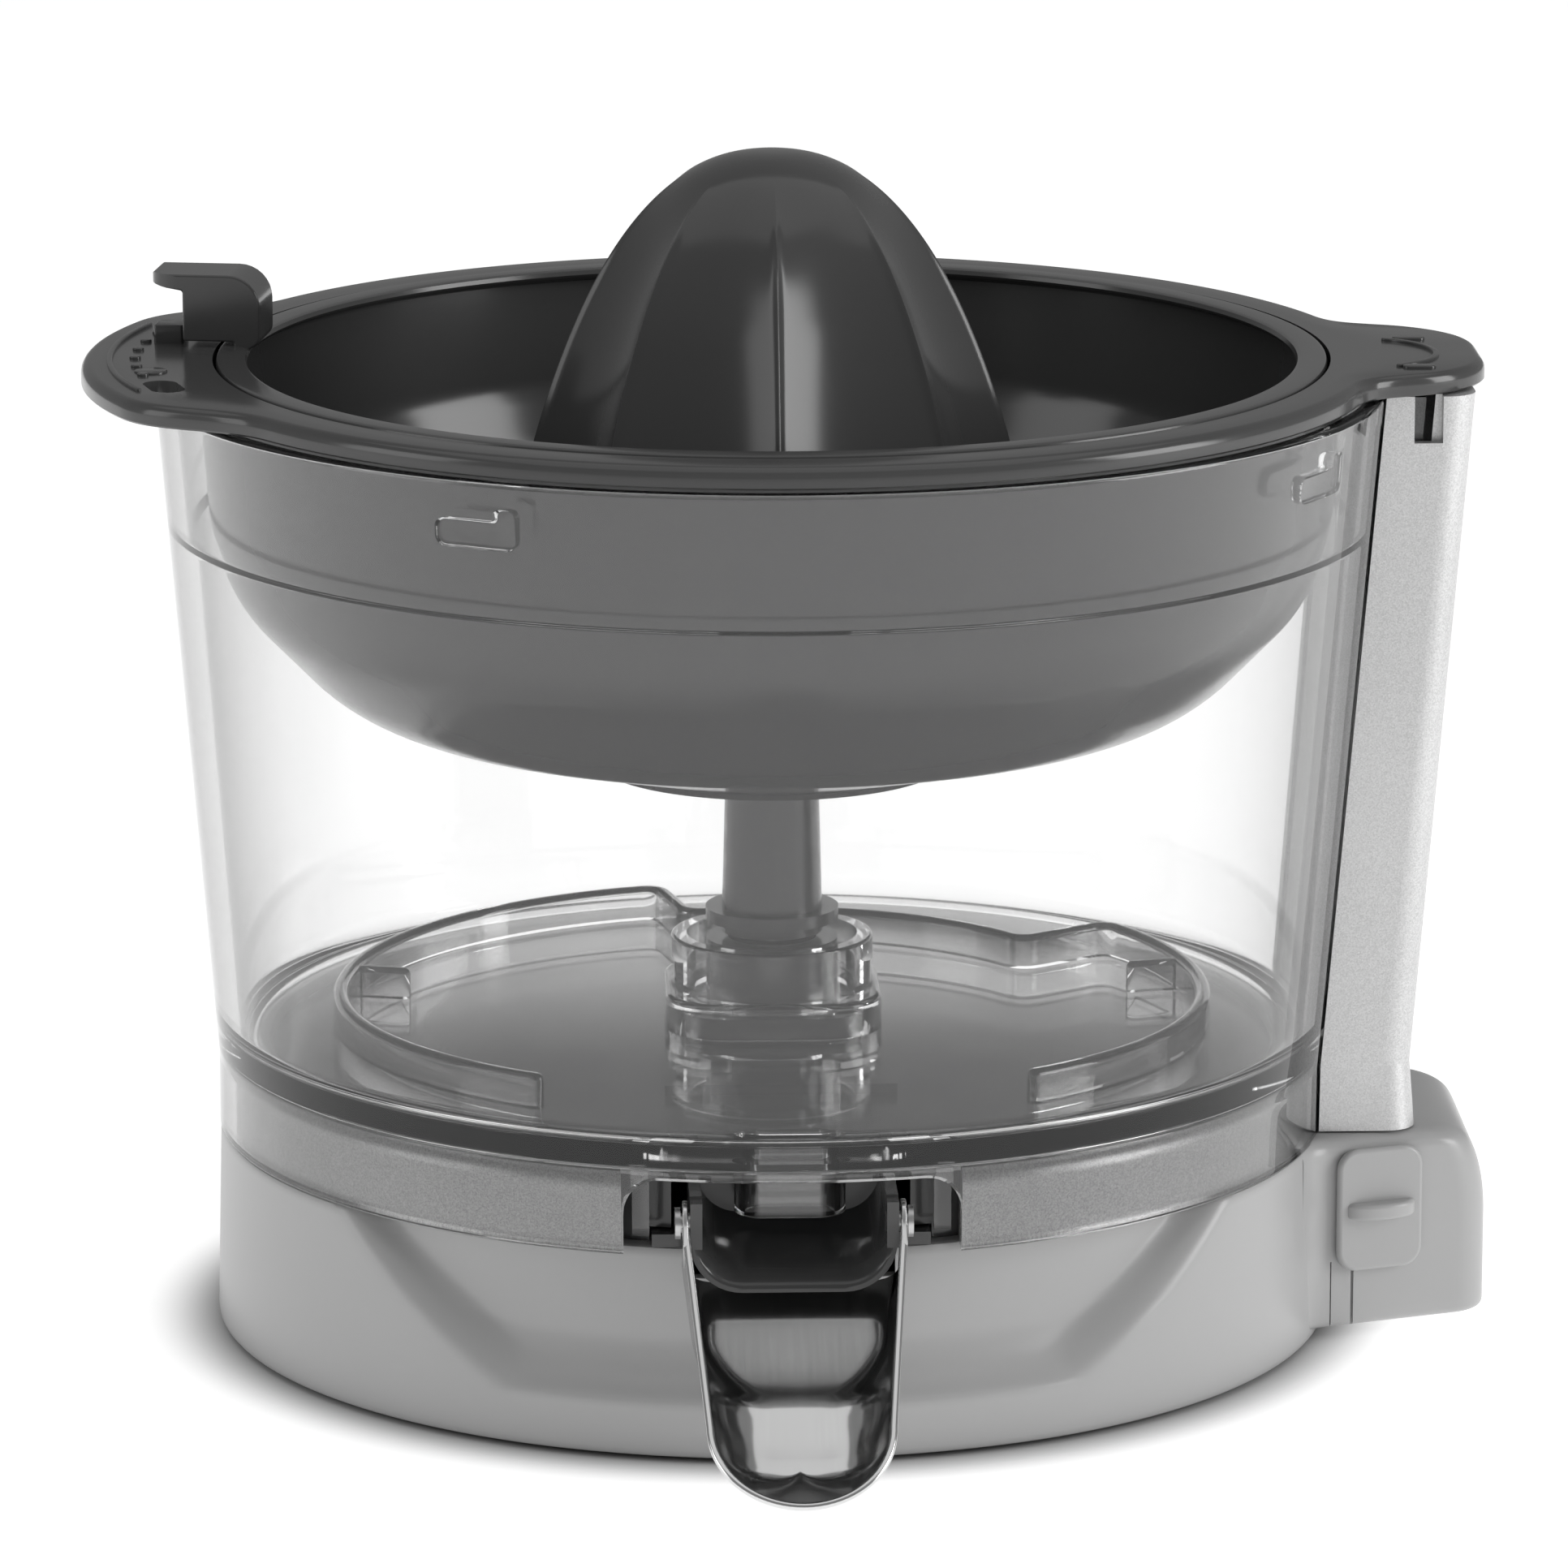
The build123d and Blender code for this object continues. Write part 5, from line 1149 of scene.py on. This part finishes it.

# %% [markdown]
# ## Floor, light and camera
# A product picture stands on white. The floor is a pale matt sheet with a little glow of its own, so it
# clips to white. The glow ends under the base, so the contact shadow stays, and there the floor's colour is
# painted darker too, a painted contact shadow. Three soft boxes and a plain grey world light the object.
# The camera sees the world as white. Through the clear container it is a white sweep up to about fourteen
# degrees and a dim studio above, which gives the container's edges their lines.

# %% Floor
GLOW_AND_SHADOW_RING = (0.086, 0.102)
FLOOR_GLOW = 0.72
material, shader, where = new_finish("white_floor")
away = where.node("ShaderNodeVectorMath", {"operation": "LENGTH"}, {0: where}, output=1)
reach = {"Value": away, "From Min": GLOW_AND_SHADOW_RING[0], "From Max": GLOW_AND_SHADOW_RING[1]}
glow_and_painted_shadow = where.node("ShaderNodeMapRange", {"interpolation_type": "SMOOTHSTEP"}, reach)
# Painted contact shadow: near the base the floor's colour is painted darker, over the same ring where the
# glow starts.
feed(shader, (glow_and_painted_shadow + where.noise(6.0) * 0.04).mix(grey(0.45), grey(0.80)), "Base Color")
feed(shader, glow_and_painted_shadow.mix(grey(0.0), grey(1.0)), "Emission Color")
shader.inputs["Emission Strength"].default_value = FLOOR_GLOW
shader.inputs["Roughness"].default_value = 0.9
shader.inputs["Specular IOR Level"].default_value = 0.0
radii = np.array([0.0, 200.0, 800.0, 3200.0])
floor = surface("studio_floor", turned(radii, 0.0, full_turn(96)), wrap_columns=False)
floor.data.materials.append(material)

# %% Light
WORLD_GREY = 0.25
STUDIO_DIM = 0.06
SWEEP_TOP = (0.240, 0.256)
scene = bpy.context.scene
scene.view_settings.view_transform = "Standard"
world = bpy.data.worlds.new("studio")
world.use_nodes = True
tree = world.node_tree


def ray(name):
    """One output of the Light Path node, which tells what kind of ray asks."""
    return Pattern(tree, None).node("ShaderNodeLightPath", output=name)


depth = ray("Diffuse Depth")
heading = depth.node("ShaderNodeTexCoord", output="Generated")
rise = heading.node("ShaderNodeSeparateXYZ", {}, {0: heading}, output=2)
reach = {"Value": rise, "From Min": SWEEP_TOP[0], "From Max": SWEEP_TOP[1], "To Min": 1.0, "To Max": 0.0}
sweep = rise.node("ShaderNodeMapRange", {"interpolation_type": "SMOOTHSTEP"}, reach)
through = ray("Is Transmission Ray") * depth.math("LESS_THAN", depth, 0.5)
behind = sweep * (1 - STUDIO_DIM) + (STUDIO_DIM - WORLD_GREY)
added = ray("Is Camera Ray") * (1 - WORLD_GREY) + through * behind
feed(tree.nodes["Background"], WORLD_GREY + added, "Color")
scene.world = world


def soft_box(name, place, aim, size, watts):
    """A rectangular lamp at a place, turned to face a point."""
    lamp = bpy.data.lights.new(name, "AREA")
    lamp.shape = "RECTANGLE"
    lamp.size, lamp.size_y = size
    lamp.energy = watts
    box = bpy.data.objects.new(name, lamp)
    scene.collection.objects.link(box)
    run = np.array(aim) - np.array(place)
    flat = np.hypot(run[0], run[1])
    box.location = place
    box.rotation_euler = (atan2(flat, -run[2]), 0, atan2(-run[0], run[1]))


AIM = (0, 0, 0.1)
soft_box("left_box", (-1.7, -0.45, 0.6), AIM, (0.8, 1.0), 4.5)
soft_box("right_box", (1.7, -0.45, 0.6), AIM, (0.8, 1.0), 14)
soft_box("top_box", (0, -0.1, 1.5), AIM, (2.2, 1.6), 6)

# %% Camera
CAMERA_TURN = radians(-2.2)
CAMERA_PITCH = radians(13.005)
CAMERA_AWAY = 1.390
CAMERA_SIDE = 0.00196
CAMERA_UP = 0.4067
CAMERA_LENS = 205.7
lens = bpy.data.cameras.new("camera")
lens.lens = CAMERA_LENS
lens.sensor_width = 36
camera = bpy.data.objects.new("camera", lens)
scene.collection.objects.link(camera)
camera.location = on_ray(CAMERA_TURN - pi / 2, CAMERA_AWAY, CAMERA_SIDE, CAMERA_UP)
camera.rotation_euler = (pi / 2 - CAMERA_PITCH, 0, CAMERA_TURN)
scene.camera = camera
